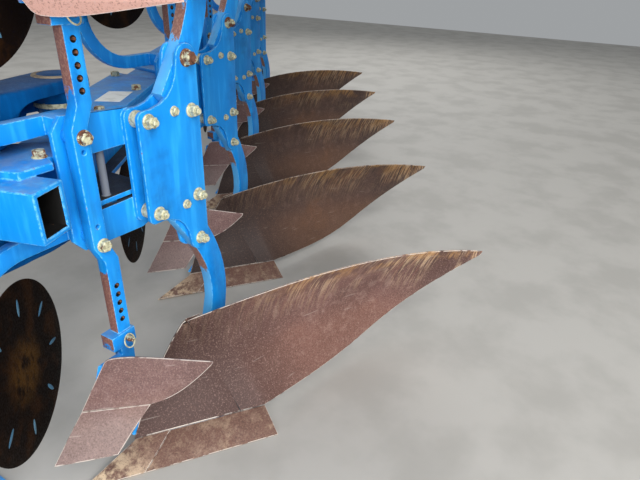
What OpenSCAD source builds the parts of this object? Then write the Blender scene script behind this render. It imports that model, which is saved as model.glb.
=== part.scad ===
// Five-furrow mounted reversible plough, standing on its lower bodies.
// Millimetres. X is the direction of travel, Y is to the left, Z is up.
// Each body is drawn in its own frame: x = 0 at the rear bolts of its leg,
// y = 0 at the middle of the leg, z = 0 on the floor. The upper set is the lower
// one mirrored in the turnover axis.

/* [Layout] */
// Number of furrows
furrows = 5; // [2:1:5]
// Step from one body to the next, along the travel
step_x = 900; // [850:10:1000]
// Step from one body to the next, across the travel
step_y = 580; // [520:10:640]
// Height of the turnover axis and of the beam above the floor
mid_z = 980; // [960:5:1020]
// First leg, ahead of the middle of the whole plough
first_leg_x = 1710; // [1500:1:1900]
// First leg, left of the middle of the whole plough
first_leg_y = 1303; // [1200:1:1500]

/* [Beam] */
// Side of the square beam
beam_side = 140; // [120:5:160]
// Wall of the beam
beam_wall = 10; // [6:1:14]
// Beam's middle line, right of the leg line, measured across the travel
beam_offset = 420; // [400:5:450]
// Front end of the beam, ahead of the first leg
beam_front = 330; // [300:5:340]
// Rear end of the beam, behind the last leg
beam_rear = 360; // [320:5:420]

/* [Legs] */
// Thickness of a leg
leg_t = 40; // [34:1:50]
// Thickness of a leg's side plate
plate_t = 12; // [8:1:16]
// Gap between a leg and its side plates
plate_play = 0.3; // [0.2:0.1:1]
// Height of the pivot bolts from the turnover axis
pivot_rise = 287; // [270:1:300]
// Height of the spacer bolts from the turnover axis
spacer_rise = 138; // [120:1:150]
// Place of the front spacer bolts, ahead of the rear ones
spacer_x = 168; // [150:1:180]
// Radius of the spacer tubes
spacer_r = 18; // [15:1:22]

/* [Mouldboards and shares] */
// Angle of the share's edge to the travel
share_angle = 38; // [34:1:42]
// Front end of the share's line, ahead of the leg
share_x = 514; // [480:1:540]
// Front end of the share's line, left of the leg's middle
share_y = -8; // [-20:1:10]
// Radius of the mouldboard's face
board_r = 395; // [360:5:440]
// Height of the mouldboard's axis above the floor
board_z = 350; // [320:5:380]
// Thickness of the mouldboard
board_t = 8; // [6:1:12]
// Thickness of the share
share_t = 12; // [8:1:16]
// Slope of the share
share_slope = 27.4; // [24:0.1:30]

/* [Skimmers] */
// Angle of the skimmer's face to the travel
skim_angle = 50; // [40:1:60]
// Point of the skimmer, ahead of the leg
skim_x = 634; // [600:1:660]
// Point of the skimmer, left of the leg's middle
skim_y = -9; // [-15:1:5]
// Height of the skimmer's point
skim_z = 200; // [180:5:240]
// Thickness of the skimmer
skim_t = 7; // [5:1:10]
// Width of the stalk along the travel
stalk_w = 45; // [40:1:55]
// Thickness of the stalk
stalk_t = 35; // [28:1:40]
// Length of the stalk each way from the turnover axis
stalk_l = 590; // [560:5:620]

/* [Coulters] */
// Radius of a disc
disc_r = 250; // [220:5:260]
// Thickness of a disc
disc_t = 6; // [4:1:8]
// Disc centre, ahead of the leg
disc_x = 594; // [580:1:610]
// Disc centre, left of the leg's middle
disc_y = -90; // [-100:1:-80]
// Height of the disc's centre
disc_z = 500; // [480:5:520]
// Angle of the disc to the travel
disc_angle = 36; // [30:1:38]
// Upper disc's centre, ahead of the leg
high_disc_x = 560; // [540:1:590]
// Upper disc's centre, left of the leg's middle
high_disc_y = -50; // [-70:1:-45]
// Height of the upper disc's centre, measured as if it were turned down
high_disc_z = 440; // [430:5:460]
// Angle of the upper disc to the travel
high_disc_angle = 12; // [8:1:20]
// Radius of the bend in the coulter arm
arm_bend = 180; // [170:1:190]
// Radius of the bend in the upper coulter arm
high_arm_bend = 200; // [190:1:210]
// Height of the arm's bar
arm_h = 50; // [40:1:52]
// Thickness of the arm's bar
arm_t = 30; // [24:1:32]

/* [Headstock] */
// Turnover axis, left of the first leg's middle
axis_y = -100; // [-120:5:-60]
// Rear face of the headstock, ahead of the first leg
head_x = 1000; // [980:5:1040]
// Length of the tower's sides along the travel
tower_l = 500; // [460:10:540]
// Inside width of the tower
tower_w = 380; // [370:5:420]
// Radius of the turnover shaft
shaft_r = 60; // [50:1:70]
// Height of the lower link pins
link_z = 600; // [560:5:640]
// Mast height from the lower pins to the top link's hole
mast_h = 685; // [610:5:700]
// Distance between the shoulders of the lower link pins
link_span = 965; // [825:5:965]
// Radius of the lower link pins
link_pin_r = 18.3; // [14:0.1:18.5]
// Radius of the top link's hole
top_hole_r = 16; // [12.7:0.1:16]
// Radius of the turnover crank
crank_r = 140; // [120:5:150]

/* [Depth wheel and stand] */
// Radius of the tyre
tyre_r = 340; // [320:5:350]
// Width of the tyre
tyre_w = 230; // [200:5:250]
// Length of the wheel's arm
wheel_arm_l = 850; // [820:10:900]
// Side of the stand's leg
stand_side = 60; // [50:1:70]
// Lift of the stand
stand_lift = 450; // [300:10:500]

/* [Hidden] */

blue = "#1683cf";
rust = "#6b4038";
scoured = "#8a6a5c";
dark_steel = "#2c221e";
black = "#1d1d1d";
$fn = 48;
fit = 0.3;
run_gap = 0.05;

beam_slope = atan2(step_y, step_x);
beam_top = mid_z + beam_side / 2;
function beam_y(x) = -beam_offset + x * step_y / step_x;

gap_half = leg_t / 2 + plate_play;
plate_y = gap_half + plate_t;
clamp_t = 15;
web_t = 15;
web_y = -plate_y - web_t;
arm_plate_t = 78;
arm_plate_z = 150;
coulter_z = 150;
coulter_y = -120;
coulter_x0 = 300;
hub_r = 45;

// Helpers
function lerp(a, b, t) = a + (b - a) * t;
function bez(p, t) = pow(1 - t, 3) * p[0] + 3 * pow(1 - t, 2) * t * p[1]
    + 3 * (1 - t) * t * t * p[2] + pow(t, 3) * p[3];
function arc(cx, cy, r, a0, a1, n) =
    [for (i = [0 : n]) [cx + r * cos(lerp(a0, a1, i / n)), cy + r * sin(lerp(a0, a1, i / n))]];

// Everything below is placed from the middle of the plough
module placed() { translate([first_leg_x, first_leg_y, 0]) children(); }
module at_body(k) {
    placed() translate([-(k - 1) * step_x, -(k - 1) * step_y, 0]) children();
}
module in_upper_set() { translate([0, 0, 2 * mid_z]) mirror([0, 0, 1]) children(); }
module lower_and_upper() {
    children();
    in_upper_set() children();
}
// A profile drawn as x and z, t thick, from y0 towards the left
module upright(y0, t) {
    translate([0, y0 + t, 0]) rotate([90, 0, 0]) linear_extrude(t) children();
}
module along_y(x, y0, y1, z, r) {
    translate([x, y0, z]) rotate([-90, 0, 0]) cylinder(h = y1 - y0, r = r);
}
module along_x(x0, x1, y, z, r) {
    translate([x0, y, z]) rotate([0, 90, 0]) cylinder(h = x1 - x0, r = r);
}

// Curved plates: a grid between a lower and an upper row of points, laid on a
// cylinder of radius r whose axis is at height zc. Points are along the share's
// line and up; the first argument of on_face is how far behind the face it lies.
function on_face(back, p, r, zc) =
    let (a = asin((p[1] - zc) / r), c = -sqrt(r * r - zc * zc))
    [p[0], c + (r + back) * cos(a), zc + (r + back) * sin(a)];
module curved_plate(low, high, rows, r, zc, t) {
    skin([for (back = [0, t]) for (i = [0 : len(low) - 1]) for (j = [0 : rows])
        on_face(back, lerp(low[i], high[i], j / rows), r, zc)], len(low) - 1, rows);
}
// Twisted plates: each section is an arc of radius r between a low and a high point
function hollow(low, high, t, r, back) =
    let (v = high - low, c = norm([v[1], v[2]]),
         bulge = sqrt(r * r - pow(c * (t - 0.5), 2)) - sqrt(r * r - c * c / 4))
    lerp(low, high, t) + (bulge + back) / c * [0, v[2], -v[1]];
module twisted_plate(low, high, rows, r, t) {
    skin([for (back = [0, t]) for (i = [0 : len(low) - 1]) for (j = [0 : rows])
        hollow(low[i], high[i], j / rows, r, back)], len(low) - 1, rows);
}
// Closed skin over a front and a back grid of points, with rims between them
module skin(points, cols, rows) {
    m = rows + 1;
    side = (cols + 1) * m;
    function at(s, i, j) = s * side + i * m + j;
    function quad(a, b, c, d) = [[a, b, c], [a, c, d]];
    quads = concat(
        [for (i = [0 : cols - 1]) for (j = [0 : rows - 1])
            quad(at(0, i, j), at(0, i, j + 1), at(0, i + 1, j + 1), at(0, i + 1, j))],
        [for (i = [0 : cols - 1]) for (j = [0 : rows - 1])
            quad(at(1, i, j), at(1, i + 1, j), at(1, i + 1, j + 1), at(1, i, j + 1))],
        [for (i = [0 : cols - 1]) quad(at(0, i, 0), at(0, i + 1, 0), at(1, i + 1, 0), at(1, i, 0))],
        [for (i = [0 : cols - 1])
            quad(at(0, i, rows), at(1, i, rows), at(1, i + 1, rows), at(0, i + 1, rows))],
        [for (j = [0 : rows - 1]) quad(at(0, 0, j), at(1, 0, j), at(1, 0, j + 1), at(0, 0, j + 1))],
        [for (j = [0 : rows - 1])
            quad(at(0, cols, j), at(0, cols, j + 1), at(1, cols, j + 1), at(1, cols, j))]);
    polyhedron(points = points, faces = [for (q = quads) for (f = q) f]);
}

// Main body: mouldboard, shin and share
module share_frame() {
    translate([share_x, share_y, 0]) rotate([0, 0, 180 - share_angle]) children();
}
// Space taken by the mouldboard and what lies ahead of it
module board_space() {
    share_frame() translate([-400, -sqrt(board_r * board_r - board_z * board_z), board_z])
        rotate([0, 90, 0]) cylinder(h = 2400, r = board_r + board_t + fit, $fn = 96);
}
seam_z = 59;
shin_seam = 491;
share_end = 583;
shin_low = [[121, seam_z], [shin_seam, seam_z]];
shin_high = [[333, 415], [346, 418]];
// The mouldboard's edges as curves in the share's frame: along, behind and up
board_top = [on_face(0, [347.5, 418], board_r, board_z), [631, 147, 522], [1168, 320, 512],
             [1603, 231, 460]];
board_tail = [on_face(0, [share_end, seam_z], board_r, board_z), [1235, 380, 12], [1110, 384, 106],
              [1588, 223, 448]];
seam_start = on_face(0, [shin_seam + 1.5, seam_z], board_r, board_z);
board_cols = 12;
tail_from = 0.12;
function board_low(u) = u < tail_from ? lerp(seam_start, board_tail[0], u / tail_from)
                                      : bez(board_tail, (u - tail_from) / (1 - tail_from));
function board_at(u, t, back) = hollow(board_low(u), bez(board_top, u), t, board_r, back);
module mouldboard() {
    steps = [for (i = [0 : board_cols]) i / board_cols];
    share_frame() twisted_plate([for (u = steps) board_low(u)], [for (u = steps) bez(board_top, u)],
                                8, board_r, board_t);
}
shin_cols = 3;
module shin() {
    low = [for (i = [0 : shin_cols]) lerp(shin_low[0], shin_low[1], i / shin_cols)];
    high = [for (i = [0 : shin_cols]) lerp(shin_high[0], shin_high[1], i / shin_cols)];
    share_frame() curved_plate(low, high, 8, board_r, board_z, board_t);
}
module mouldboards(k) {
    color(rust) at_body(k) lower_and_upper() {
        mouldboard();
        shin();
    }
}
share_front = -30;
share_back = 128.5;
blade_seam = [140, 240];
module share_plane(z0, t) {
    share_frame() translate([0, share_front, 0]) rotate([share_slope, 0, 0])
        translate([0, 0, z0]) linear_extrude(t) children();
}
module share_blade() {
    share_plane(-share_t, share_t)
        polygon([[blade_seam[0] + 1, 12], [602, 12], [share_end, share_back - 1],
                 [blade_seam[1] + 1, share_back - 1]]);
}
module share_point() {
    share_plane(-share_t, share_t + 4)
        polygon([[-60, 12], [blade_seam[0], 12], [blade_seam[1], share_back - 1],
                 [126, share_back - 1], [-30, 30]]);
}
landside_h = 110;
landside_x0 = -260;
landside_x1 = 335;
module landside() {
    upright(-leg_t / 2 - 12, 12 - fit)
        polygon([[landside_x0, 0], [landside_x1, 0], [landside_x1, 60], [landside_x1 - 60, landside_h],
                 [landside_x0 + 20, landside_h], [landside_x0, landside_h - 30]]);
}
module shares(k) {
    color(scoured) at_body(k) lower_and_upper() {
        intersection() {
            union() { share_blade(); share_point(); }
            translate([-500, -500, 0]) cube([1500, 1500, 200]);
        }
        landside();
    }
}

// Leg: curved bar with the frog that carries share, landside and mouldboard
frog_z = 62;
wing_t = 15;
leg_front = [[99, 783], [35, 690], [-62, 560], [-46, 410]];
leg_rear = [[-124, 410], [-134, 530], [-90, 640], [-44, 722]];
frog_outline = [[-26, 335], [40, 300], [200, 250], [360, 100], [360, frog_z], [-60, frog_z], [-96, 110],
                [-112, 330]];
leg_steps = 8;
module leg_outline() {
    polygon(concat(
        arc(0, mid_z - spacer_rise, 42, 200, 20, 10),
        [for (i = [0 : leg_steps]) bez(leg_front, i / leg_steps)],
        frog_outline,
        [for (i = [0 : leg_steps]) bez(leg_rear, i / leg_steps)]));
}
module frog_wing() {
    share_plane(-share_t - fit - wing_t, wing_t)
        polygon([[126, 75], [430, 75], [430, 170], [190, 190]]);
}
stay_r = 12;
stay_foot = [330, 290, 280];
stay_at = [0.52, 0.6];
module board_stay() {
    share_frame() hull()
        for (p = [stay_foot, board_at(stay_at[0], stay_at[1], board_t + stay_r - 1)])
            translate(p) sphere(r = stay_r, $fn = 12);
}
module leg() {
    difference() {
        union() {
            upright(-leg_t / 2, leg_t) leg_outline();
            board_stay();
        }
        board_space();
        mouldboard();
    }
    frog_wing();
}
module legs(k) {
    color(blue) at_body(k) lower_and_upper() leg();
}

// Side plates with the spacer tubes, and the carrier that clamps them to the beam
module plate_outline() {
    up = mid_z + pivot_rise;
    dn = mid_z - pivot_rise;
    lobe = 40;
    front = spacer_x + 51;
    polygon(concat(
        arc(4, up, lobe, 180, 0, 10),
        [for (i = [1 : 6]) bez([[4 + lobe, up], [4 + lobe + 8, up - 90], [110, mid_z + spacer_rise + 25],
                                 [front - 25, mid_z + spacer_rise + 30]], i / 6)],
        arc(front - 22, mid_z + spacer_rise + 8, 22, 90, 0, 4),
        arc(front - 22, mid_z - spacer_rise - 8, 22, 0, -90, 4),
        [for (i = [0 : 5]) bez([[front - 25, mid_z - spacer_rise - 30], [110, mid_z - spacer_rise - 25],
                                 [4 + lobe + 8, dn + 90], [4 + lobe, dn]], i / 6)],
        arc(4, dn, lobe, 0, -180, 10)));
}
web_front = 412;
web_rear = -30;
window_x = [176, 344];
window_z = [-88, 72];
window_r = 22;
module carrier_web() {
    upright(web_y, web_t) difference() {
        polygon([[web_rear, mid_z - 150], [150, mid_z - 186], [180, mid_z - 194],
                 [web_front - 30, mid_z - 186], [web_front, mid_z - 150], [web_front, mid_z + 150],
                 [web_front - 30, mid_z + 186],
                 [web_rear, mid_z + 150]]);
        polygon(concat(
            arc(window_x[0] + window_r, mid_z + window_z[0] + window_r, window_r, 180, 270, 4),
            arc(window_x[1] - window_r, mid_z + window_z[0] + window_r, window_r, 270, 360, 4),
            arc(window_x[1] - window_r, mid_z + window_z[1] - window_r, window_r, 0, 90, 4),
            arc(window_x[0] + window_r, mid_z + window_z[1] - window_r, window_r, 90, 180, 4)));
    }
}
clamp_tip = 300;
clamp_front = 285;
clamp_half = 132;
clamp_back = -460;
last_clamp_back = -345;
clamp_neck = 130;
module carrier_clamp(k) {
    back = k < furrows ? clamp_back : last_clamp_back;
    translate([0, 0, beam_top]) linear_extrude(clamp_t)
        polygon([[clamp_neck, web_y + 1], [clamp_tip, web_y + 1], [clamp_tip, -150],
                 [clamp_front, beam_y(clamp_front) + 20],
                 [clamp_front - 15, beam_y(clamp_front) - clamp_half + 20],
                 [clamp_front - 60, beam_y(clamp_front - 60) - clamp_half],
                 [back, beam_y(back) - clamp_half], [back, beam_y(back) + clamp_half],
                 [60, beam_y(60) + clamp_half], [clamp_neck, beam_y(clamp_neck) + clamp_half]]);
}
// Tie rod through both clamp plates, behind the window
tie_x = 262;
tie_y = -70;
tie_r = 11;
module carrier_tie() {
    h = beam_side + 2 * clamp_t + 50;
    translate([tie_x, tie_y, mid_z]) cylinder(h = h, r = tie_r, center = true);
}
module leg_plates(k) {
    color(blue) at_body(k) {
        for (y = [-plate_y, gap_half]) upright(y, plate_t) plate_outline();
        for (s = [-1, 1]) along_y(spacer_x, -plate_y, plate_y, mid_z + s * spacer_rise, spacer_r);
        carrier_web();
        carrier_tie();
        lower_and_upper() carrier_clamp(k);
    }
}

// Skimmers: a small board and its own share on a stalk
skim_r = 600;
skim_zc = 400;
skim_lift = 100;
module skimmer_pair() {
    children();
    translate([0, 0, 2 * mid_z - skim_lift]) mirror([0, 0, 1]) children();
}
module skim_frame() {
    translate([skim_x, skim_y, skim_z]) rotate([0, 0, 180 - skim_angle]) children();
}
skim_seam = [[77, 120], [275, 123.5]];
seam_gap = 0.5;
skim_tail = [[275, 124], [340, 130], [400, 165], [462, 222]];
skim_high = [[155, 262], [210, 280], [330, 250], [465, 231]];
skim_cols = 6;
skim_tail_from = 0.5;
module skimmer() {
    low = [for (i = [0 : skim_cols]) let (u = i / skim_cols)
        u <= skim_tail_from ? lerp(skim_seam[0], skim_seam[1], u / skim_tail_from) + [0, seam_gap]
                            : bez(skim_tail, (u - skim_tail_from) / (1 - skim_tail_from))];
    high = [for (i = [0 : skim_cols]) bez(skim_high, i / skim_cols)];
    skim_frame() curved_plate(low, high, 4, skim_r, skim_zc, skim_t);
}
module skimmer_share() {
    low = [[0, 0], [90, 4], [177, 10]];
    high = [for (u = [0, 0.5, 1]) lerp(skim_seam[0], skim_seam[1], u)];
    skim_frame() curved_plate(low, high, 3, skim_r, skim_zc, skim_t);
}
module skimmers(k) {
    color(scoured) at_body(k) skimmer_pair() {
        skimmer();
        skimmer_share();
    }
}
stalk_y = 22;
joggle = 25;
stalk_x = 349;
module stalk_outline() {
    a = stalk_x;
    b = stalk_x - joggle;
    up = mid_z + 160;
    dn = mid_z - 160;
    polygon([[b, mid_z - stalk_l], [b + stalk_w, mid_z - stalk_l], [b + stalk_w, dn - 55],
             [a + stalk_w, dn], [a + stalk_w, up], [b + stalk_w, up + 55],
             [b + stalk_w, mid_z + stalk_l], [b, mid_z + stalk_l], [b, up + 55], [a, up], [a, dn],
             [b, dn - 55]]);
}
module skim_space() {
    skim_frame() translate([-300, -sqrt(skim_r * skim_r - skim_zc * skim_zc), skim_zc])
        rotate([0, 90, 0]) cylinder(h = 900, r = skim_r + skim_t + fit, $fn = 96);
}
// Ring round the stalk, with an arm to a curved pad behind the skimmer
ring_t = 8;
ring_h = 48;
ring_l = 22;
ring_top = 521;
high_ring_top = 486;
pad_z = [394, 442];
pad_t = 12;
arm_w = 20;
arm_l = 90;
module skim_bracket(top) {
    x0 = stalk_x - joggle;
    front = x0 + stalk_w;
    difference() {
        union() {
            translate([x0 - ring_t, stalk_y - stalk_t - ring_t, top - ring_h])
                cube([stalk_w + 2 * ring_t + ring_l, stalk_t + 2 * ring_t, ring_h]);
            translate([front - 1, stalk_y - arm_w, pad_z[0]])
                cube([arm_l, arm_w, pad_z[1] - pad_z[0]]);
            intersection() {
                translate([front, stalk_y - arm_w, pad_z[0]]) cube([arm_l, 80, pad_z[1] - pad_z[0]]);
                skim_frame() translate([0, -sqrt(skim_r * skim_r - skim_zc * skim_zc), skim_zc])
                    rotate([0, 90, 0]) cylinder(h = 320, r = skim_r + skim_t + pad_t, $fn = 96);
            }
        }
        skim_space();
    }
}
hole_r = 6.5;
holes_low = 300;
holes_high = 247;
hole_step = 29;
module stalk() {
    mid = stalk_y - stalk_t / 2;
    difference() {
        upright(stalk_y - stalk_t, stalk_t) stalk_outline();
        for (i = [0 : 4]) for (z = [mid_z - holes_low - i * hole_step, mid_z + holes_high + i * hole_step])
            along_y(stalk_x - joggle + stalk_w / 2, mid - stalk_t, mid + stalk_t, z, hole_r);
        for (s = [-1, 1]) along_y(stalk_x + stalk_w / 2, mid - stalk_t, mid + stalk_t,
                                  mid_z + s * (spacer_rise - 36), hole_r);
    }
    for (s = [-1, 1])
        along_y(stalk_x + stalk_w / 2, -plate_y, stalk_y - stalk_t, mid_z + s * spacer_rise, 20);
    skim_bracket(ring_top);
    translate([0, 0, 2 * mid_z - skim_lift]) mirror([0, 0, 1]) skim_bracket(high_ring_top);
}
module stalks() {
    color(blue) for (k = [1 : furrows]) at_body(k) stalk();
}

// Disc coulters and their bent arms: the centre of the disc, its angle to the travel,
// then the arm's bend: its radius, its place ahead of the leg and the angle it ends at
low_coulter = [[disc_x, disc_y, disc_z], disc_angle, arm_bend, 506, 50];
high_coulter = [[high_disc_x, high_disc_y, high_disc_z], high_disc_angle, high_arm_bend, 485, 68];
module disc_frame(c) {
    translate(c[0]) rotate([0, 0, c[1]]) rotate([90, 0, 0]) children();
}
module disc(c) {
    disc_frame(c) {
        rotate_extrude($fn = 96)
            polygon([[0, -disc_t / 2], [disc_r - 14, -disc_t / 2], [disc_r, -0.8],
                     [disc_r, 0.8], [disc_r - 14, disc_t / 2], [0, disc_t / 2]]);
        cylinder(h = hub_flange, r = hub_r + 10);
    }
}
hub_flange = 14;
hub_l = 55;
foot_l = 80;
module coulter_arm(c) {
    bend_z = mid_z - coulter_z - c[2];
    inner = c[2] - arm_h / 2;
    outer = c[2] + arm_h / 2;
    upright(coulter_y - arm_t / 2, arm_t) polygon(concat(
        [[coulter_x0, bend_z + inner], [coulter_x0, bend_z + outer]],
        arc(c[3], bend_z, outer, 90, -c[4], 20),
        arc(c[3], bend_z, inner, -c[4], 90, 16)));
    translate([coulter_x0, coulter_y, bend_z + inner]) cube([foot_l, web_y - coulter_y, arm_h]);
    disc_frame(c) translate([0, 0, hub_flange + fit]) cylinder(h = hub_l, r = hub_r);
}
module coulter_arms() {
    color(blue) for (k = [1 : furrows]) at_body(k) {
        coulter_arm(low_coulter);
        in_upper_set() coulter_arm(high_coulter);
    }
}
module disc_low(k) { color(dark_steel) at_body(k) disc(low_coulter); }
module disc_high(k) { color(dark_steel) at_body(k) in_upper_set() disc(high_coulter); }

// Frame: beam, swing arm, turnover shaft and the socket tube ahead of the first body
beam_rear_x = -(furrows - 1) * step_x - beam_rear;
module main_beam() {
    length = (beam_front - beam_rear_x) / cos(beam_slope);
    color(blue) placed() translate([beam_front, beam_y(beam_front), mid_z])
        rotate([0, 0, beam_slope]) translate([-length, 0, 0]) difference() {
            translate([0, -beam_side / 2, -beam_side / 2]) cube([length, beam_side, beam_side]);
            translate([beam_wall, beam_wall - beam_side / 2, beam_wall - beam_side / 2])
                cube([length - 2 * beam_wall, beam_side - 2 * beam_wall, beam_side - 2 * beam_wall]);
        }
}
pin_x = 200;
pin_boss = 80;
flange_x = 880;
flange_t = 30;
arm_web_x = 675;
arm_right = axis_y - 150;
arm_left = axis_y + 130;
module swing_plate() {
    translate([0, 0, mid_z + arm_plate_z]) linear_extrude(arm_plate_t)
        polygon(concat(arc(pin_x, beam_y(pin_x), pin_boss + 8, 75, 290, 14),
                       [[620, arm_right], [flange_x - flange_t, arm_right], [flange_x - flange_t, arm_left],
                        [700, -148], [390, -168], [300, -190]]));
}
module swing_boss() {
    z0 = beam_side / 2 + clamp_t;
    translate([pin_x, beam_y(pin_x), mid_z + z0]) cylinder(h = arm_plate_z + 1 - z0, r = pin_boss);
    translate([pin_x, beam_y(pin_x), mid_z + arm_plate_z + arm_plate_t - 1]) cylinder(h = 9, r = 45);
}
module swing_arm() {
    color(blue) placed() {
        lower_and_upper() {
            swing_plate();
            swing_boss();
        }
        translate([flange_x - 2 * flange_t, arm_right, mid_z - arm_plate_z - 1])
            cube([flange_t, arm_left - arm_right, 2 * arm_plate_z + 2]);
        translate([arm_web_x, arm_right, mid_z - arm_plate_z - 1])
            cube([flange_x - 2 * flange_t + 1 - arm_web_x, 20, 2 * arm_plate_z + 2]);
    }
}
flange_r = 140;
collar_t = 25;
crank_t = 25;
crank_x = head_x + 305;
crank_eye = 28;
module turnover_shaft() {
    color(blue) placed() {
        along_x(flange_x - flange_t, flange_x, axis_y, mid_z, flange_r);
        along_x(flange_x, crank_x + crank_t, axis_y, mid_z, shaft_r);
        difference() {
            along_x(flange_x, head_x - 5, axis_y, mid_z, shaft_r + collar_t);
            along_x(flange_x, head_x - 5, axis_y, mid_z, shaft_r - 5);
        }
        translate([crank_x, axis_y, mid_z]) hull() {
            rotate([0, 90, 0]) cylinder(h = crank_t, r = shaft_r + 5, $fn = 32);
            translate([0, -crank_r, 0]) rotate([0, 90, 0]) cylinder(h = crank_t, r = crank_eye, $fn = 32);
        }
    }
}
tube_w = 100;
tube_h = 130;
tube_wall = 13;
tube_l = 330;
tube_turn = 18;
tube_end = [505, 60];
cheek_t = 20;
module socket_tube() {
    color(blue) placed() {
        translate([tube_end[0], tube_end[1], mid_z]) rotate([0, 0, tube_turn]) difference() {
            translate([-tube_w / 2, -tube_l, -tube_h / 2]) cube([tube_w, tube_l, tube_h]);
            translate([tube_wall - tube_w / 2, -tube_l - 1, tube_wall - tube_h / 2])
                cube([tube_w - 2 * tube_wall, tube_l + 2, tube_h - 2 * tube_wall]);
        }
        for (s = [-1, 1]) translate([0, 0, mid_z + s * (tube_h + cheek_t) / 2])
            linear_extrude(cheek_t, center = true)
            polygon([[clamp_tip, -60], [416, -60], [430, -20], [520, -20], [600, -250], [480, -300],
                     [clamp_tip, -150]]);
    }
}

// Headstock
tower_t = 20;
back_t = 30;
head_front = head_x + tower_l;
foot_z = link_z - 70;
tower_top = mid_z + 590;
top_z = link_z + mast_h;
link_x = head_front - 10;
link_r = 45;
mast_x = head_front - 40;
roof_l = tower_l - 120;
pivot_z = mid_z + 520;
rod_x = head_x + 352;
bearing_l = 300;
bearing_t = 35;
window_r1 = 90;
lug_t = 20;
lug_y = 38;
module tower_side() {
    difference() {
        polygon([[head_x, foot_z], [head_front + 50, foot_z], [head_front + 50, link_z + 60],
                 [mast_x, mid_z], [mast_x, top_z + 120], [head_x + roof_l, tower_top],
                 [head_x, tower_top]]);
        translate([head_x + 180, mid_z - 40]) circle(r = window_r1);
    }
}
module headstock() {
    left = axis_y - tower_w / 2;
    color(blue) placed() {
        difference() {
            union() {
                translate([head_x, left, foot_z]) cube([back_t, tower_w, tower_top - foot_z]);
                along_x(head_x, head_x + bearing_l, axis_y, mid_z, shaft_r + bearing_t);
            }
            along_x(head_x - 1, head_x + bearing_l + 1, axis_y, mid_z, shaft_r + run_gap);
        }
        difference() {
            for (y = [left - tower_t, left + tower_w]) upright(y, tower_t) tower_side();
            along_y(link_x, axis_y - tower_w, axis_y + tower_w, link_z, link_r + fit);
        }
        translate([head_x, left, tower_top - tower_t]) cube([roof_l, tower_w, tower_t]);
        translate([mast_x - back_t, left, top_z - 70]) cube([back_t, tower_w, 150]);
        difference() {
            for (s = [-1, 1]) translate([mast_x, axis_y - lug_t / 2 + s * lug_y, top_z - 60])
                cube([80, lug_t, 120]);
            along_y(link_x, axis_y - 60, axis_y + 60, top_z, top_hole_r);
        }
        for (x = [rod_x - lug_y - 12, rod_x + 30]) translate([x, axis_y - 40, pivot_z - 40])
            cube([lug_t, 80, tower_top - pivot_z + 30]);
        along_x(rod_x - 40, rod_x + 40, axis_y, pivot_z, pin_r);
    }
}
link_pin_l = 70;
module cross_shaft() {
    half = link_span / 2;
    color(black) placed() {
        along_y(link_x, axis_y - half, axis_y + half, link_z, link_r);
        along_y(link_x, axis_y - half - link_pin_l, axis_y + half + link_pin_l, link_z, link_pin_r);
    }
}

// Turnover cylinder
swing0 = atan2(crank_r, pivot_z - mid_z);
rod_l = norm([crank_r, pivot_z - mid_z]);
barrel_l = 310;
bore_r = 27;
barrel_r = 35;
bore_z = 80;
gland_l = 25;
rod_r = 16;
piston_z = 245;
piston_l = 25;
eye_r = 28;
pin_r = 15;
pin_half = 21;
module cylinder_frame() {
    placed() translate([rod_x, axis_y, pivot_z]) rotate([180 - swing0, 0, 0]) children();
}
module cylinder_barrel() {
    color(blue) cylinder_frame() {
        difference() {
            union() {
                translate([0, 0, bore_z - 20]) cylinder(h = barrel_l - bore_z + 20, r = barrel_r);
                rotate([0, 90, 0]) cylinder(h = 36, r = eye_r + 2, center = true);
                translate([-18, -22, 0]) cube([36, 44, 62]);
            }
            rotate([0, 90, 0]) cylinder(h = 50, r = pin_r + run_gap, center = true);
            translate([0, 0, bore_z]) cylinder(h = barrel_l, r = bore_r);
        }
        difference() {
            translate([0, 0, barrel_l - gland_l]) cylinder(h = gland_l, r = barrel_r - 1);
            translate([0, 0, barrel_l - gland_l - 1]) cylinder(h = gland_l + 5, r = rod_r + run_gap);
        }
    }
}
module cylinder_rod() {
    color("silver") cylinder_frame() {
        translate([0, 0, piston_z + 5]) cylinder(h = rod_l - piston_z - 25, r = rod_r);
        translate([0, 0, piston_z]) cylinder(h = piston_l, r = bore_r - 1);
        translate([0, 0, rod_l]) rotate([0, 90, 0]) {
            cylinder(h = 33, r = eye_r, center = true);
            cylinder(h = 2 * pin_half, r = pin_r, center = true);
        }
    }
}

// Depth wheel at the rear
axle_r = 30;
boss_r = 50;
arm_bar = 30;
wheel_px = beam_rear_x - 110;
wheel_py = beam_y(beam_rear_x);
wheel_drop = mid_z - tyre_r;
wheel_back = sqrt(wheel_arm_l * wheel_arm_l - wheel_drop * wheel_drop);
hub_px = wheel_px - wheel_back;
arm_y0 = wheel_py - 180;
tyre_y = arm_y0 - arm_bar - tyre_w / 2;
hub_axle_r = 25;
module wheel_bracket() {
    color(blue) placed() difference() {
        union() {
            translate([wheel_px, wheel_py - 90, mid_z - 60]) cube([60, 120, 120]);
            along_y(wheel_px, wheel_py - 140, wheel_py + 60, mid_z, 55);
            translate([wheel_px + 20, wheel_py - 60, mid_z - 50]) cube([120, 90, 100]);
        }
        along_y(wheel_px, wheel_py - 141, wheel_py + 61, mid_z, axle_r + run_gap);
        translate([beam_rear_x, beam_y(beam_rear_x), mid_z]) rotate([0, 0, beam_slope])
            translate([-fit, -150, -150]) cube([400, 300, 300]);
    }
}
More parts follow.
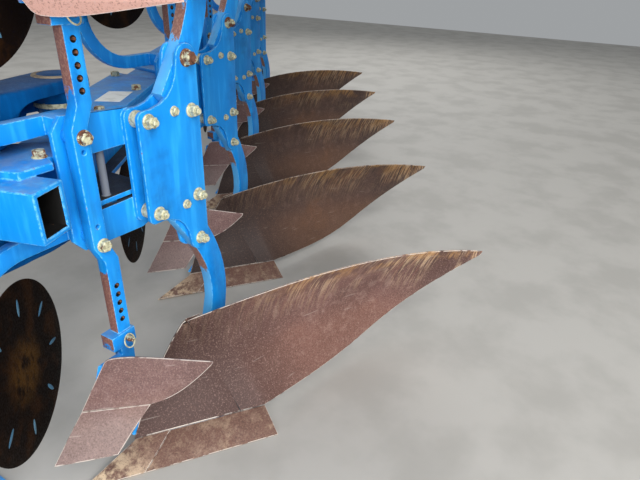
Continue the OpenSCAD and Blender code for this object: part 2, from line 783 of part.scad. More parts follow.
module wheel_arm() {
    a = atan2(wheel_drop, wheel_back);
    color(blue) placed() {
        along_y(wheel_px, arm_y0, wheel_py + 80, mid_z, axle_r);
        along_y(wheel_px, arm_y0, arm_y0 + arm_bar, mid_z, boss_r);
        along_y(hub_px, arm_y0, arm_y0 + arm_bar, tyre_r, boss_r);
        translate([wheel_px, arm_y0, mid_z]) rotate([0, -a, 0]) translate([-wheel_arm_l, 0, -40])
            cube([wheel_arm_l, arm_bar, 80]);
        along_y(hub_px, tyre_y - 40, arm_y0, tyre_r, hub_axle_r);
    }
}
rim_r = 190;
module wheel_rim() {
    color(blue) placed() translate([hub_px, tyre_y, tyre_r]) rotate([90, 0, 0]) difference() {
        union() {
            rotate_extrude() polygon([[rim_r - 12, -95], [rim_r + 15, -95], [rim_r + 15, -85],
                [rim_r - 2, -80], [rim_r - 2, 80], [rim_r + 15, 85], [rim_r + 15, 95],
                [rim_r - 12, 95]]);
            cylinder(h = 10, r = rim_r - 5, center = true);
            cylinder(h = 120, r = 55, center = true);
        }
        cylinder(h = 200, r = hub_axle_r + run_gap, center = true);
    }
}
module wheel_tyre() {
    color(black) placed() translate([hub_px, tyre_y, tyre_r]) rotate([90, 0, 0])
        rotate_extrude($fn = 72) polygon([[rim_r + fit, -78], [rim_r + 16, -84], [rim_r + 16, -95],
            [rim_r + 40, -tyre_w / 2], [tyre_r - 50, -tyre_w / 2], [tyre_r - 15, -95],
            [tyre_r, -60], [tyre_r, 60], [tyre_r - 15, 95], [tyre_r - 50, tyre_w / 2],
            [rim_r + 40, tyre_w / 2], [rim_r + 16, 95], [rim_r + 16, 84], [rim_r + fit, 78]]);
}

// Parking stand beside the swing arm
stand_x = 760;
socket_wall = 6;
stand_y = axis_y - 150 - stand_side / 2 - socket_wall;
module stand_pin_hole(z) {
    along_y(0, -stand_side, stand_side, z - 40, 9);
}
module stand_socket() {
    color(blue) placed() translate([stand_x, stand_y, mid_z]) difference() {
        cube([stand_side + 2 * socket_wall, stand_side + 2 * socket_wall, 170], center = true);
        cube([stand_side + 1, stand_side + 1, 200], center = true);
        stand_pin_hole(0);
    }
}
foot_side = 180;
foot_t = 10;
tube_t = 4;
module stand_leg() {
    color(blue) placed() translate([stand_x, stand_y, 0]) {
        translate([-foot_side / 2, -foot_side / 2, 0]) cube([foot_side, foot_side, foot_t]);
        difference() {
            translate([-stand_side / 2, -stand_side / 2, foot_t])
                cube([stand_side, stand_side, mid_z + 110]);
            translate([tube_t - stand_side / 2, tube_t - stand_side / 2, foot_t + tube_t])
                cube([stand_side - 2 * tube_t, stand_side - 2 * tube_t, mid_z + 110]);
            for (z = [mid_z, mid_z - stand_lift]) stand_pin_hole(z);
        }
    }
}

headstock();
cross_shaft();
turnover_shaft();
swing_arm();
main_beam();
socket_tube();
stalks();
coulter_arms();
cylinder_barrel();
cylinder_rod();
wheel_bracket();
wheel_arm();
wheel_rim();
wheel_tyre();
stand_socket();
stand_leg();
for (k = [1 : furrows]) {
    leg_plates(k);
    legs(k);
    mouldboards(k);
    shares(k);
    skimmers(k);
    disc_low(k);
    disc_high(k);
}
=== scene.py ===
"""Five-furrow mounted reversible plough, parked on its lower bodies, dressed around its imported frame.

Everything is in metres in the frame's own axes: X is the direction of travel, Y is to the left and Z is
up. A body's own sizes are measured from its leg: x = 0 at the leg's rear bolts, y = 0 at the leg's middle.
"""

import logging
import math
from collections.abc import Iterable, Sequence
from dataclasses import dataclass
from enum import Enum
from functools import reduce

import bmesh
import bpy
from mathutils import Matrix, Vector


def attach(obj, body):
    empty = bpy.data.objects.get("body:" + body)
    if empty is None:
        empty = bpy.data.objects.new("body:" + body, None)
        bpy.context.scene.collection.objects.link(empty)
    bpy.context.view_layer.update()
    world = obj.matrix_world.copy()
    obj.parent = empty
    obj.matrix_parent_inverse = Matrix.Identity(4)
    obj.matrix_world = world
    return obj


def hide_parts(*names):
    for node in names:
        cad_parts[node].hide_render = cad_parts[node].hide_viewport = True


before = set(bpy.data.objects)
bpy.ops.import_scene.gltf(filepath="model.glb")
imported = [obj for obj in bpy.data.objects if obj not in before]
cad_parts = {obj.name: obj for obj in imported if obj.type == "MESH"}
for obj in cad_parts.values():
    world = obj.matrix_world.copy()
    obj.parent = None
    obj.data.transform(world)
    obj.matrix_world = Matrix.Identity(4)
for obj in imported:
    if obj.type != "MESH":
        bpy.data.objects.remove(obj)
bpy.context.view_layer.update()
LOG = logging.getLogger("plough")

BMesh = bmesh.types.BMesh
Material = bpy.types.Material
Object = bpy.types.Object
Socket = bpy.types.NodeSocket
Point2 = tuple[float, float]
Point3 = tuple[float, float, float]
Spot = tuple[Vector, Vector]

MM = 0.001
UP, LEFT, AHEAD = Vector((0, 0, 1)), Vector((0, 1, 0)), Vector((1, 0, 0))

# Points of a CAD mesh that are nearer than this are one point.
WELD = 2e-5
# Angles over which an edge is a plate's rim, is rounded on a CAD shape, and is shaded sharp.
RIM_ANGLE, ROUNDED_ANGLE, SHADED_ANGLE = math.radians(60), math.radians(32), math.radians(35)
# Triangles that lie flatter than this are one face.
FLAT_ANGLE = math.radians(1)
# Places nearer than this are the same.
TOUCHING = 1e-6
# Inputs and output of a Mix node that is set to colours.
MIX_FACTOR, MIX_A, MIX_B, MIX_RESULT = 0, 6, 7, 2

# Numbers that a mesh carries for its finish: how worn a face is, how far a point is from shin to tail, how
# far it is from the hub, how near it is to the share's tip, and how much grey dirt, or black for painted
# shade, a face takes.
WORN, ALONG, RADIUS, TIP, DIRT_AND_SHADE = "worn", "along", "radius", "tip", "grime"
# Grey dirt, painted shade that is almost black, and full black.
GREY_DIRT, PAINTED_SHADE, ALL_BLACK = 0.5, 0.9, 1.0


class Side(Enum):
    """Which of the plough's two sets of bodies a part belongs to."""

    LOWER = 1
    UPPER = -1


@dataclass(frozen=True)
class Layout:
    """Where the repeated bodies stand in the frame."""

    furrows: int = 5
    step: Point2 = (0.900, 0.580)
    first_leg: Point2 = (1.710, 1.303)
    axis_height: float = 0.980

    def body(self, k: int, side: Side = Side.LOWER) -> Matrix:
        """Place of body k, counted from 1 at the front.

        Args:
            k: Number of the body.
            side: Lower set, or the upper one, which is its mirror in the turnover axis.

        Returns:
            Matrix from the body's own frame to the plough's frame.
        """
        x = self.first_leg[0] - (k - 1) * self.step[0]
        y = self.first_leg[1] - (k - 1) * self.step[1]
        place = Matrix.Translation((x, y, 0))
        if side is Side.UPPER:
            mirror = Matrix.Translation((0, 0, 2 * self.axis_height)) @ Matrix.Diagonal((1, 1, -1, 1))
            place = place @ mirror
        return place

    def both(self, k: int) -> list[Matrix]:
        """Places of the lower and the upper body k."""
        return [self.body(k, side) for side in Side]

    def point(self, k: int, x: float, y: float, rise: float) -> Vector:
        """Point of body k, with its height counted from the turnover axis."""
        return self.body(k) @ Vector((x, y, self.axis_height + rise))

    def numbers(self) -> range:
        """Numbers of the bodies, front to rear."""
        return range(1, self.furrows + 1)


LAYOUT = Layout()


def linear(colour: str) -> tuple[float, float, float, float]:
    """Turns an sRGB hex colour into the linear values that a socket takes.

    Args:
        colour: Colour as #rrggbb.

    Returns:
        Linear red, green and blue, and full opacity.
    """
    parts = [int(colour[i : i + 2], 16) / 255 for i in (1, 3, 5)]
    return (*(c / 12.92 if c <= 0.04045 else ((c + 0.055) / 1.055) ** 2.4 for c in parts), 1.0)


def add_node(
    tree: bpy.types.NodeTree,
    kind: str,
    settings: dict[str, object] | None = None,
    inputs: dict[str | int, object] | None = None,
) -> bpy.types.Node:
    """Adds a node with its settings and links.

    Args:
        tree: Material's or modifier's tree.
        kind: Node's type name.
        settings: Attributes to set on the node.
        inputs: Values or output sockets, by the input's name or number.

    Returns:
        The new node.
    """
    node = tree.nodes.new(kind)
    for name, value in (settings or {}).items():
        setattr(node, name, value)
    for name, value in (inputs or {}).items():
        if isinstance(value, Socket):
            tree.links.new(value, node.inputs[name])
        else:
            node.inputs[name].default_value = value
    return node


@dataclass(frozen=True)
class Step:
    """Smooth step of a pattern: where the pattern goes from low to high, it gives bottom to top."""

    pattern: Socket
    low: float
    high: float
    top: float = 1.0
    bottom: float = 0.0


def formula(tree: bpy.types.NodeTree, term: object) -> object:
    """Builds the nodes of a formula.

    Args:
        tree: Material's or modifier's tree.
        term: A number, a socket, a Step, or a tuple of an operation's name and its own terms.

    Returns:
        The number or the socket that holds the result.
    """
    if isinstance(term, Step):
        ends = {"From Min": term.low, "From Max": term.high, "To Min": term.bottom, "To Max": term.top}
        smooth = {"interpolation_type": "SMOOTHSTEP"}
        return add_node(tree, "ShaderNodeMapRange", smooth, {"Value": term.pattern, **ends}).outputs[0]
    if isinstance(term, tuple):
        operation, *parts = term
        values = dict(enumerate(formula(tree, part) for part in parts))
        return add_node(tree, "ShaderNodeMath", {"operation": operation}, values).outputs[0]
    return term


def product(*terms: object) -> object:
    """Formula of several terms multiplied."""
    return reduce(lambda first, second: ("MULTIPLY", first, second), terms)


@dataclass
class Surface:
    """A material being built: its tree, its shader and the colours laid so far over its base colour."""

    name: str
    base: str
    roughness: float
    metallic: float = 0.0
    gloss: float = 0.5

    def __post_init__(self) -> None:
        """Makes the material with an empty tree, a shader and an output."""
        self.material = bpy.data.materials.new(self.name)
        self.material.use_nodes = True
        self.tree = self.material.node_tree
        self.tree.nodes.clear()
        self.shader = add_node(
            self.tree, "ShaderNodeBsdfPrincipled", None,
            {"Metallic": self.metallic, "Roughness": self.roughness, "Specular IOR Level": self.gloss},
        )
        add_node(self.tree, "ShaderNodeOutputMaterial", None, {"Surface": self.shader.outputs[0]})
        self.coords = add_node(self.tree, "ShaderNodeTexCoord").outputs
        self.colour: object = linear(self.base)

    def noise(self, size_mm: float, detail: float = 4.0, stretch: Point3 = (1, 1, 1), turn: float = 0.0,
              shift: float = 0.0, rough: float = 0.55, slant: float = 0.0) -> Socket:
        """Noise over the object's own coordinates.

        Args:
            size_mm: Size of a patch, in millimetres.
            detail: Octaves.
            stretch: How much longer a patch is along each axis.
            turn: Turn of the pattern about Z, in degrees, before it is stretched.
            shift: Offset that makes one pattern differ from another, in metres.
            rough: Weight of the finer octaves.
            slant: Lean of the pattern once it is turned, in degrees.

        Returns:
            The noise, about 0.5 on average.
        """
        moves = [{"Rotation": (0, 0, math.radians(-turn)), "Location": (shift, shift, shift)}]
        if slant:
            moves.append({"Rotation": (0, math.radians(-slant), 0)})
        moves.append({"Scale": tuple(1 / s for s in stretch)})
        place = self.coords["Object"]
        for move in moves:
            place = add_node(self.tree, "ShaderNodeMapping", None, {"Vector": place, **move}).outputs[0]
        return add_node(
            self.tree, "ShaderNodeTexNoise", None,
            {"Vector": place, "Scale": 1 / (size_mm * MM), "Detail": detail, "Roughness": rough},
        ).outputs[0]

    def read(self, name: str, axis: int | None = None) -> Socket:
        """A number that the mesh carries, or one axis of a coordinate output such as Object or Normal.

        Args:
            name: The attribute's or the output's name.
            axis: 0 to 2, for a coordinate output.

        Returns:
            The number.
        """
        if axis is None:
            return add_node(self.tree, "ShaderNodeAttribute", {"attribute_name": name}).outputs["Fac"]
        return add_node(self.tree, "ShaderNodeSeparateXYZ", None, {0: self.coords[name]}).outputs[axis]

    def value(self, term: object) -> Socket:
        """Result of a formula, for use in several places."""
        return formula(self.tree, term)

    def rise(self) -> Socket:
        """Height above the turnover axis or depth below it."""
        return self.value(("ABSOLUTE", ("SUBTRACT", self.read("Object", 2), LAYOUT.axis_height)))

    def over(self, under: object, colour: object, *terms: object) -> Socket:
        """One colour over another.

        Args:
            under: Colour below, as a socket or as linear values.
            colour: Colour on top, in hex or as a socket.
            terms: How much of it shows, as the product of these terms.

        Returns:
            The mixed colour.
        """
        top = linear(colour) if isinstance(colour, str) else colour
        parts = {MIX_FACTOR: self.value(product(*terms)), MIX_A: under, MIX_B: top}
        return add_node(self.tree, "ShaderNodeMix", {"data_type": "RGBA"}, parts).outputs[MIX_RESULT]

    def lay(self, colour: object, *terms: object) -> None:
        """Lays a colour over what is there, as far as the product of the terms says."""
        self.colour = self.over(self.colour, colour, *terms)

    def finish(self, height: object = None, depth_mm: float = 0.3, roughness: object = None) -> Material:
        """Joins colour, roughness and bump to the shader.

        Args:
            height: Formula of the bump's height, from 0 to 1.
            depth_mm: Depth of the bump.
            roughness: Formula of the roughness, where it varies.

        Returns:
            The finished material.
        """
        self.tree.links.new(self.colour, self.shader.inputs["Base Color"])
        if roughness is not None:
            self.tree.links.new(self.value(roughness), self.shader.inputs["Roughness"])
        if height is not None:
            bump = add_node(
                self.tree, "ShaderNodeBump", None,
                {"Height": self.value(height), "Distance": depth_mm * MM, "Strength": 1.0},
            )
            self.tree.links.new(bump.outputs[0], self.shader.inputs["Normal"])
        return self.material


@dataclass(frozen=True)
class RustedSteel:
    """Rolled boron steel that soil has scoured and damp air has rusted.

    A thin purple-brown film of oxide hides the polish, speckled light and dark by fine pits. Water that
    runs down from the upper edge leaves tan and orange marks, most of them towards the tail.
    """

    name: str
    film: str = "#6f4f49"
    deep: str = "#422a24"
    pale: str = "#b1948a"
    bloom: str = "#8f6250"
    tan: str = "#cdb190"
    gold: str = "#c4955f"
    bright: str = "#e4dacf"
    soil: str = "#dbc3a2"
    # Paler colour for painted light, laid where high_lit says.
    lit: str = "#dcab9b"
    grain_mm: float = 5.5
    run_marks: float = 1.0
    soil_patches: float = 0.0
    clouds: float = 0.3
    # How strongly the painted light is laid from 1.0 m up.
    high_lit: float = 0.0
    rim_shine: float = 0.8
    # How dark the painted shade is towards the shin.
    front_shade: float = 0.95
    pale_foot: float = 0.0
    turn: float = 142.0
    slant: float = 14.0

    def build(self) -> Material:
        """Builds the material. The pits are drawn coarser than they are, so that they show.

        Returns:
            The finished material.
        """
        s = Surface(self.name, self.film, 0.5, 0.1)
        run = {"turn": self.turn, "slant": self.slant}
        grain = s.noise(self.grain_mm, rough=0.8)
        mottle = s.noise(40, shift=0.8, rough=0.65)
        wide = s.noise(150, 3.0, (1, 8, 2), shift=3.1, **run)
        streaks = s.noise(13, 3.0, (1, 40, 16), rough=0.65, **run)
        fine = s.noise(8, 2.0, (1, 40, 14), shift=1.7, rough=0.7, **run)
        along, rise = s.read(ALONG), s.rise()
        tail = s.value(Step(along, 0.18, 0.50, self.run_marks, 0.2 * self.run_marks))
        reach = s.value(product(Step(rise, 0.74, 0.47), tail))
        wide_reach = s.value(product(reach, Step(wide, 0.36, 0.56)))

        s.lay(self.deep, Step(s.noise(230, 3.0), 0.46, 0.66, 0.4))
        s.lay(self.bloom, Step(s.noise(260, 3.0, shift=5.2), 0.54, 0.72, 0.35))
        s.lay(self.pale, Step(mottle, 0.48, 0.70, self.clouds))
        # Painted shade: the deep colour laid towards the shin and again towards the tail.
        if self.front_shade:
            s.lay(self.deep, Step(along, 0.42, 0.02, self.front_shade))
            s.lay(self.deep, Step(along, 0.66, 0.92, 0.7))
        if self.pale_foot:
            s.lay(self.bright, Step(rise, 0.62, 0.72, self.pale_foot))
        s.lay(self.bloom, Step(rise, 0.66, 0.82, 0.35), Step(along, 0.05, 0.3))
        # Painted light: from 1.0 m up, which takes in all of the upper skimmers, the steel is laid paler.
        if self.high_lit:
            s.lay(self.lit, Step(s.read("Object", 2), 1.0, 1.1, self.high_lit))
        s.lay(self.deep, Step(streaks, 0.48, 0.36, 0.85), reach)
        s.lay(self.bloom, Step(streaks, 0.51, 0.60, 0.75), wide_reach)
        s.lay(self.tan, Step(fine, 0.47, 0.60, 0.95), wide_reach)
        crest = product(Step(rise, 0.60, 0.48), Step(s.noise(120, 3.0, shift=2.9), 0.44, 0.58))
        s.lay(self.gold, crest, tail, Step(fine, 0.38, 0.52, 0.8))
        if self.soil_patches:
            s.lay(self.soil, Step(s.noise(60, 5.0, shift=7.7, rough=0.75), 0.50, 0.64, self.soil_patches))
            s.lay(self.soil, Step(s.read(TIP), 0.36, 0.86), Step(mottle, 0.38, 0.56, 0.9))
        s.lay(self.pale, Step(grain, 0.50, 0.70, 0.55))
        s.lay(self.deep, Step(grain, 0.50, 0.32, 0.72))
        scratches = s.noise(4, 1.0, (30, 30, 2), turn=self.turn, shift=4.2)
        s.lay(self.bright, Step(scratches, 0.70, 0.80, 0.2))
        s.lay(self.bright, s.read(WORN), Step(s.noise(30, 3.0, shift=9.1), 0.36, 0.52), self.rim_shine)
        pits = ("ADD", grain, ("MULTIPLY", streaks, 0.3))
        return s.finish(pits, 0.5, Step(grain, 0.3, 0.7, 0.8, 0.52))


@dataclass(frozen=True)
class Paint:
    """Alkyd machine enamel, sprayed on bare steel and left outdoors.

    Blue that has faded unevenly in upright streaks, with grey dust on what faces up, and rust where edges
    and front faces have lost it to stones.
    """

    name: str
    blue: str = "#0788dc"
    faded: str = "#2aa6f0"
    shade: str = "#045ca8"
    dust: str = "#8a9296"
    rust: str = "#7a4a34"
    dry_rust: str = "#a0765c"
    pale: str = "#74c4ee"
    dirt: str = "#827c6d"
    # Black laid where the mesh says: painted shade under the carriers' beams and in the square tube, which
    # also holds dirt, and the walls of the stalks' holes.
    grime: str = "#0c0b0a"
    dusty: float = 0.4
    front_rust: float = 0.0
    rust_from: float = 0.0
    rust_to: float = 2.0
    rust_fade: float = 0.012
    rust_ragged: float = 0.14
    # How much paler the front faces are laid: painted light.
    painted_front_light: float = 0.0
    gloss: float = 0.35

    def bare_steel(self, s: Surface, chipped: object, ahead: Socket) -> Socket:
        """Where the paint is gone.

        Args:
            s: The material being built.
            chipped: Formula of the edges that have lost it.
            ahead: How far a face looks ahead.

        Returns:
            The edges, with the band on the front faces between two distances from the turnover axis.
        """
        if self.front_rust:
            noise = s.noise(50, 5.0, shift=11.0, rough=0.7)
            ragged = ("MULTIPLY", ("SUBTRACT", noise, 0.5), self.rust_ragged)
            place = s.value(("ADD", s.rise(), ragged))
            starts = Step(place, self.rust_from, self.rust_from + self.rust_fade)
            ends = Step(place, self.rust_to, self.rust_to - self.rust_fade)
            chipped = ("MAXIMUM", chipped, product(ahead, starts, ends, self.front_rust))
        return s.value(chipped)

    def build(self) -> Material:
        """Builds the material.

        Returns:
            The finished material.
        """
        s = Surface(self.name, self.blue, 0.42, gloss=self.gloss)
        clouds = s.noise(150, shift=2.3)
        fine = s.noise(6, 3.0, rough=0.7, shift=5.0)
        chips = s.noise(14, shift=8.8, rough=0.7)
        worn, grime = s.read(WORN), s.read(DIRT_AND_SHADE)
        ahead = s.value(Step(s.read("Normal", 0), 0.7, 0.9))
        settled = Step(s.noise(70, 5.0, shift=6.6, rough=0.65), 0.30, 0.62, self.dusty)
        dust = s.value(product(Step(s.read("Normal", 2), 0.75, 0.97), settled))

        s.lay(self.faded, Step(s.noise(26, 3.0, (1, 1, 9)), 0.45, 0.72, 0.7))
        s.lay(self.shade, Step(clouds, 0.50, 0.72, 0.55))
        s.lay(self.dust, dust)
        s.lay(self.rust, Step(fine, 0.68, 0.74), Step(clouds, 0.45, 0.6, 0.4))
        # Painted light: faces that look ahead are laid paler.
        if self.painted_front_light:
            s.lay(self.pale, ahead, self.painted_front_light)
        s.lay(self.pale, worn, Step(chips, 0.42, 0.56, 0.6))
        # Grey dirt, then black on the faces that the mesh marks: painted shade under the beams and in the
        # tube, and the stalks' holes.
        s.lay(self.dirt, Step(grime, 0.0, GREY_DIRT, 0.85))
        s.lay(self.grime, Step(grime, GREY_DIRT, ALL_BLACK))
        bare = self.bare_steel(s, product(worn, Step(chips, 0.60, 0.66, 0.8)), ahead)
        s.lay(s.over(linear(self.rust), self.dry_rust, Step(fine, 0.4, 0.7)), bare)
        height = ("SUBTRACT", ("MULTIPLY", fine, 0.25), bare)
        return s.finish(height, 0.35, ("ADD", ("MULTIPLY", dust, 0.35), Step(fine, 0.3, 0.7, 0.5, 0.36)))


@dataclass(frozen=True)
class ZincPlate:
    """Yellow-passivated zinc plate on rolled bolts: a greenish straw colour, with rust where it is gone."""

    name: str
    zinc: str = "#cdcaa9"
    shade: str = "#99967a"
    rust: str = "#6a432f"
    rusted: float = 0.25

    def build(self) -> Material:
        """Builds the material.

        Returns:
            The finished material.
        """
        s = Surface(self.name, self.zinc, 0.5, 0.15)
        tarnish = s.noise(10, 3.0)
        limit = 0.70 - 0.30 * self.rusted
        rust = s.value(Step(s.noise(30, 5.0, shift=4.0, rough=0.7), limit, limit + 0.08))
        s.lay(self.shade, Step(tarnish, 0.42, 0.66))
        s.lay(self.rust, rust)
        return s.finish(("ADD", tarnish, rust), 0.2, Step(rust, 0.0, 1.0, 0.85, 0.45))


@dataclass(frozen=True)
class DiscSteel:
    """Heat-treated disc blade, almost black with oil and dried soil, browner round its hub."""

    name: str
    black: str = "#0e0704"
    brown: str = "#2b1808"
    soil: str = "#4d3415"
    edge: str = "#5c5148"

    def build(self) -> Material:
        """Builds the material.

        Returns:
            The finished material.
        """
        s = Surface(self.name, self.black, 0.7, gloss=0.05)
        grit = s.noise(6, 3.0, shift=2.0, rough=0.7)
        dried = s.noise(34, 5.0, (1, 1, 2), shift=5.0, rough=0.65)
        s.lay(self.brown, Step(s.noise(80, 5.0, rough=0.65), 0.45, 0.66, 0.8))
        s.lay(self.soil, Step(s.read(RADIUS), 0.50, 0.15, 0.8), Step(dried, 0.38, 0.60))
        s.lay(self.soil, Step(grit, 0.68, 0.78, 0.25))
        s.lay(self.edge, s.read(WORN), 0.6)
        return s.finish(grit, 0.4, Step(grit, 0.3, 0.7, 0.7, 0.4))


@dataclass(frozen=True)
class Rubber:
    """Carbon-black tyre rubber with pale dust on it."""

    name: str
    rubber: str = "#22211f"
    dust: str = "#6d665a"

    def build(self) -> Material:
        """Builds the material.

        Returns:
            The finished material.
        """
        s = Surface(self.name, self.rubber, 0.8)
        s.lay(self.dust, Step(s.noise(45, 5.0, rough=0.65), 0.45, 0.75, 0.6))
        return s.finish(s.noise(5, 2.0, shift=2.0), 0.25)


@dataclass(frozen=True)
class PlainMetal:
    """A plain metal or enamel with slight mottling, such as hard chrome or black enamel."""

    name: str
    colour: str
    mottle: str
    roughness: float
    metallic: float = 0.0

    def build(self) -> Material:
        """Builds the material.

        Returns:
            The finished material.
        """
        s = Surface(self.name, self.colour, self.roughness, self.metallic)
        mottle = s.noise(40)
        s.lay(self.mottle, Step(mottle, 0.48, 0.70, 0.6))
        rough = Step(mottle, 0.3, 0.7, self.roughness + 0.15, self.roughness)
        return s.finish(s.noise(5, 2.0, shift=3.0), 0.08, rough)


class Finishes:
    """All the plough's materials, built once."""

    def __init__(self) -> None:
        """Builds them."""
        self.board = RustedSteel("Scoured boron steel, rusted in rain marks").build()
        # The rear bodies' boards take a darker copy of the same steel: painted shade.
        self.shaded_board = RustedSteel(
            "Scoured boron steel, rusted dark under the roof", film="#4e3a33", deep="#2c1d19", pale="#83695d",
            bloom="#7a5234", tan="#a78c6c", gold="#9c7340", bright="#b8ab9e",
        ).build()
        # The skimmers' steel is laid paler on the upper skimmers: painted light.
        self.skimmer = RustedSteel(
            "Scoured skimmer steel, pinkish rust", film="#6c4f4b", deep="#48322f", pale="#b0958f",
            bloom="#805d50", grain_mm=5.0, run_marks=0.1, clouds=0.15, front_shade=0.0, pale_foot=0.13,
            turn=130.0, high_lit=0.75, rim_shine=0.6,
        ).build()
        self.share = RustedSteel(
            "Forged share steel, rust and dried soil", film="#6f5044", deep="#46302a", pale="#ab907d",
            bloom="#94633f", grain_mm=6.0, run_marks=0.1, front_shade=0.0, soil_patches=0.2,
        ).build()
        self.paint = Paint("Blue machine enamel, faded and chipped").build()
        self.stalk_paint = Paint(
            "Blue machine enamel, worn to rust on the stalks' front faces", front_rust=0.95,
            rust_from=0.24, rust_to=0.50,
        ).build()
        # The legs' front faces are laid paler as painted light; the rusty patch is real.
        self.leg_paint = Paint(
            "Blue machine enamel, faded ahead with a rusty patch", front_rust=0.95,
            rust_from=0.325, rust_to=0.44, painted_front_light=0.45,
        ).build()
        # The casting's blue is laid much darker than the other paint: painted shade.
        self.cast_paint = Paint(
            "Blue enamel on a rough casting, dull with dirt", blue="#034a84", faded="#055b98",
            shade="#02294a", dusty=0.05, gloss=0.08,
        ).build()
        self.zinc = ZincPlate("Yellow-passivated zinc plate").build()
        self.worn_zinc = ZincPlate("Zinc plate, rusting through", rusted=0.62).build()
        self.rusty_zinc = ZincPlate("Zinc plate, almost all rusted away", rusted=0.9).build()
        self.disc = DiscSteel("Heat-treated disc steel, oiled and soiled").build()
        self.rib_paint = Paint(
            "Blue enamel left in the pressed ribs", blue="#3b6a86", faded="#6c94a8", shade="#233f50"
        ).build()
        self.label = PlainMetal("White enamelled plate, blank", "#e9ebe6", "#c3c6bf", 0.45).build()
        self.grease = PlainMetal("Dried grease and dust on a pin's cover", "#9b8b76", "#6f5f4d", 0.8).build()
        self.rubber = Rubber("Carbon-black tyre rubber").build()
        self.black = PlainMetal("Black enamel on forged steel", "#1b1b1c", "#2c2a28", 0.4).build()
        self.chrome = PlainMetal("Hard chrome plate", "#c9ccce", "#b2b6ba", 0.14, 1.0).build()


def linked(name: str, data: bpy.types.ID) -> Object:
    """Makes an object of its data and links it to the scene.

    Args:
        name: Name of the object.
        data: Its mesh, camera or light.

    Returns:
        The linked object.
    """
    made = bpy.data.objects.new(name, data)
    bpy.context.scene.collection.objects.link(made)
    return made


def discard(piece: Object) -> None:
    """Removes an object and its mesh.

    Args:
        piece: A mesh object.
    """
    mesh = piece.data
    bpy.data.objects.remove(piece)
    bpy.data.meshes.remove(mesh)


def bare_object(name: str, bm: BMesh) -> Object:
    """Makes an object at the origin from a mesh under construction, which is freed.

    Args:
        name: Name of the piece.
        bm: The mesh, which is freed.

    Returns:
        The linked object.
    """
    mesh = bpy.data.meshes.new(name)
    bm.to_mesh(mesh)
    bm.free()
    return linked(name, mesh)


def frozen(source: Object, name: str) -> Object:
    """Turns an object with modifiers into a plain mesh object and removes the source.

    Args:
        source: The object with its modifiers.
        name: Name of the new object.

    Returns:
        The new object.
    """
    graph = bpy.context.evaluated_depsgraph_get()
    graph.update()
    mesh = bpy.data.meshes.new_from_object(source.evaluated_get(graph), depsgraph=graph)
    mesh.name = name
    discard(source)
    return linked(name, mesh)


def frozen_mesh(source: Object) -> BMesh:
    """Turns an object with modifiers into a mesh under construction and removes the object.

    Args:
        source: The object with its modifiers.

    Returns:
        The mesh.
    """
    made = frozen(source, "made")
    bm = bmesh.new()
    bm.from_mesh(made.data)
    discard(made)
    return bm


def join_into(target: BMesh, other: BMesh) -> None:
    """Adds one mesh to another and frees it.

    Args:
        target: Mesh that grows.
        other: Mesh that is added and freed.
    """
    part = bpy.data.meshes.new("part")
    other.to_mesh(part)
    other.free()
    target.from_mesh(part)
    bpy.data.meshes.remove(part)


def placed_copies(bm: BMesh, places: Iterable[Matrix]) -> BMesh:
    """Repeats a mesh at several places.

    Args:
        bm: The mesh in its own frame, which is freed.
        places: Where the copies go. A mirrored place has its faces turned back.

    Returns:
        One mesh with all the copies.
    """
    out = bmesh.new()
    for place in places:
        one = bm.copy()
        one.transform(place)
        if place.determinant() < 0:
            bmesh.ops.reverse_faces(one, faces=one.faces)
        join_into(out, one)
    bm.free()
    return out


def cad_mesh(node: str) -> BMesh:
    """Copy of a CAD node's mesh, with its loose triangles merged.

    Args:
        node: Name of the node.

    Returns:
        The merged copy.
    """
    bm = bmesh.new()
    bm.from_mesh(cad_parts[node].data)
    bmesh.ops.remove_doubles(bm, verts=bm.verts, dist=WELD)
    return bm


def box_of(node: str) -> tuple[Vector, Vector]:
    """Lowest and highest corner of a CAD node's box."""
    corners = list(zip(*(v.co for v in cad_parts[node].data.vertices)))
    return Vector([min(c) for c in corners]), Vector([max(c) for c in corners])


def register(piece: Object, body: str, slot: str, finish: Material, *nodes: str) -> None:
    """Gives a piece its finish and its body, and hides the nodes that it stands for.

    Args:
        piece: The piece.
        body: Body that it rides on.
        slot: Not used. The record's material slot, or nothing for trim and fasteners.
        finish: Its material.
        nodes: CAD nodes that it replaces.
    """
    mesh = piece.data
    mesh.materials.clear()
    mesh.materials.append(finish)
    mesh.polygons.foreach_set("use_smooth", [True] * len(mesh.polygons))
    mesh.set_sharp_from_angle(angle=SHADED_ANGLE)
    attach(piece, body)
    if nodes:
        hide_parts(*nodes)
    LOG.info("%s rides on %s with %d faces", piece.name, body, len(mesh.polygons))


def curve_at(p: Sequence[Sequence[float]], t: float) -> tuple[float, ...]:
    """Point of a cubic curve with four control points, in the plane or in space."""
    weights = ((1 - t) ** 3, 3 * (1 - t) ** 2 * t, 3 * (1 - t) * t * t, t**3)
    return tuple(sum(w * c for w, c in zip(weights, axis)) for axis in zip(*p))


def curve(p: Sequence[Point2], count: int) -> list[Point2]:
    """Points along a cubic curve in equal steps, ends included."""
    return [curve_at(p, i / count) for i in range(count + 1)]


def fillet(before: Point2, corner: Point2, after: Point2, radius: float, count: int = 5) -> list[Point2]:
    """Rounds a corner with an arc.

    Args:
        before: A point on the line that comes in.
        corner: The corner.
        after: A point on the line that goes out.
        radius: Radius of the arc.
        count: Steps along the arc.

    Returns:
        Points of the arc.
    """
    c, a, b = Vector(corner), Vector(before), Vector(after)
    into, out = (a - c).normalized(), (b - c).normalized()
    half = into.angle(out) / 2
    back = radius / math.tan(half)
    centre = c + (into + out).normalized() * (radius / math.sin(half))
    start, end = c + into * back, c + out * back
    turn = (start - centre).angle_signed(end - centre)
    turns = [Matrix.Rotation(-turn * i / count, 2) for i in range(count + 1)]
    return [tuple(centre + step @ (start - centre)) for step in turns]


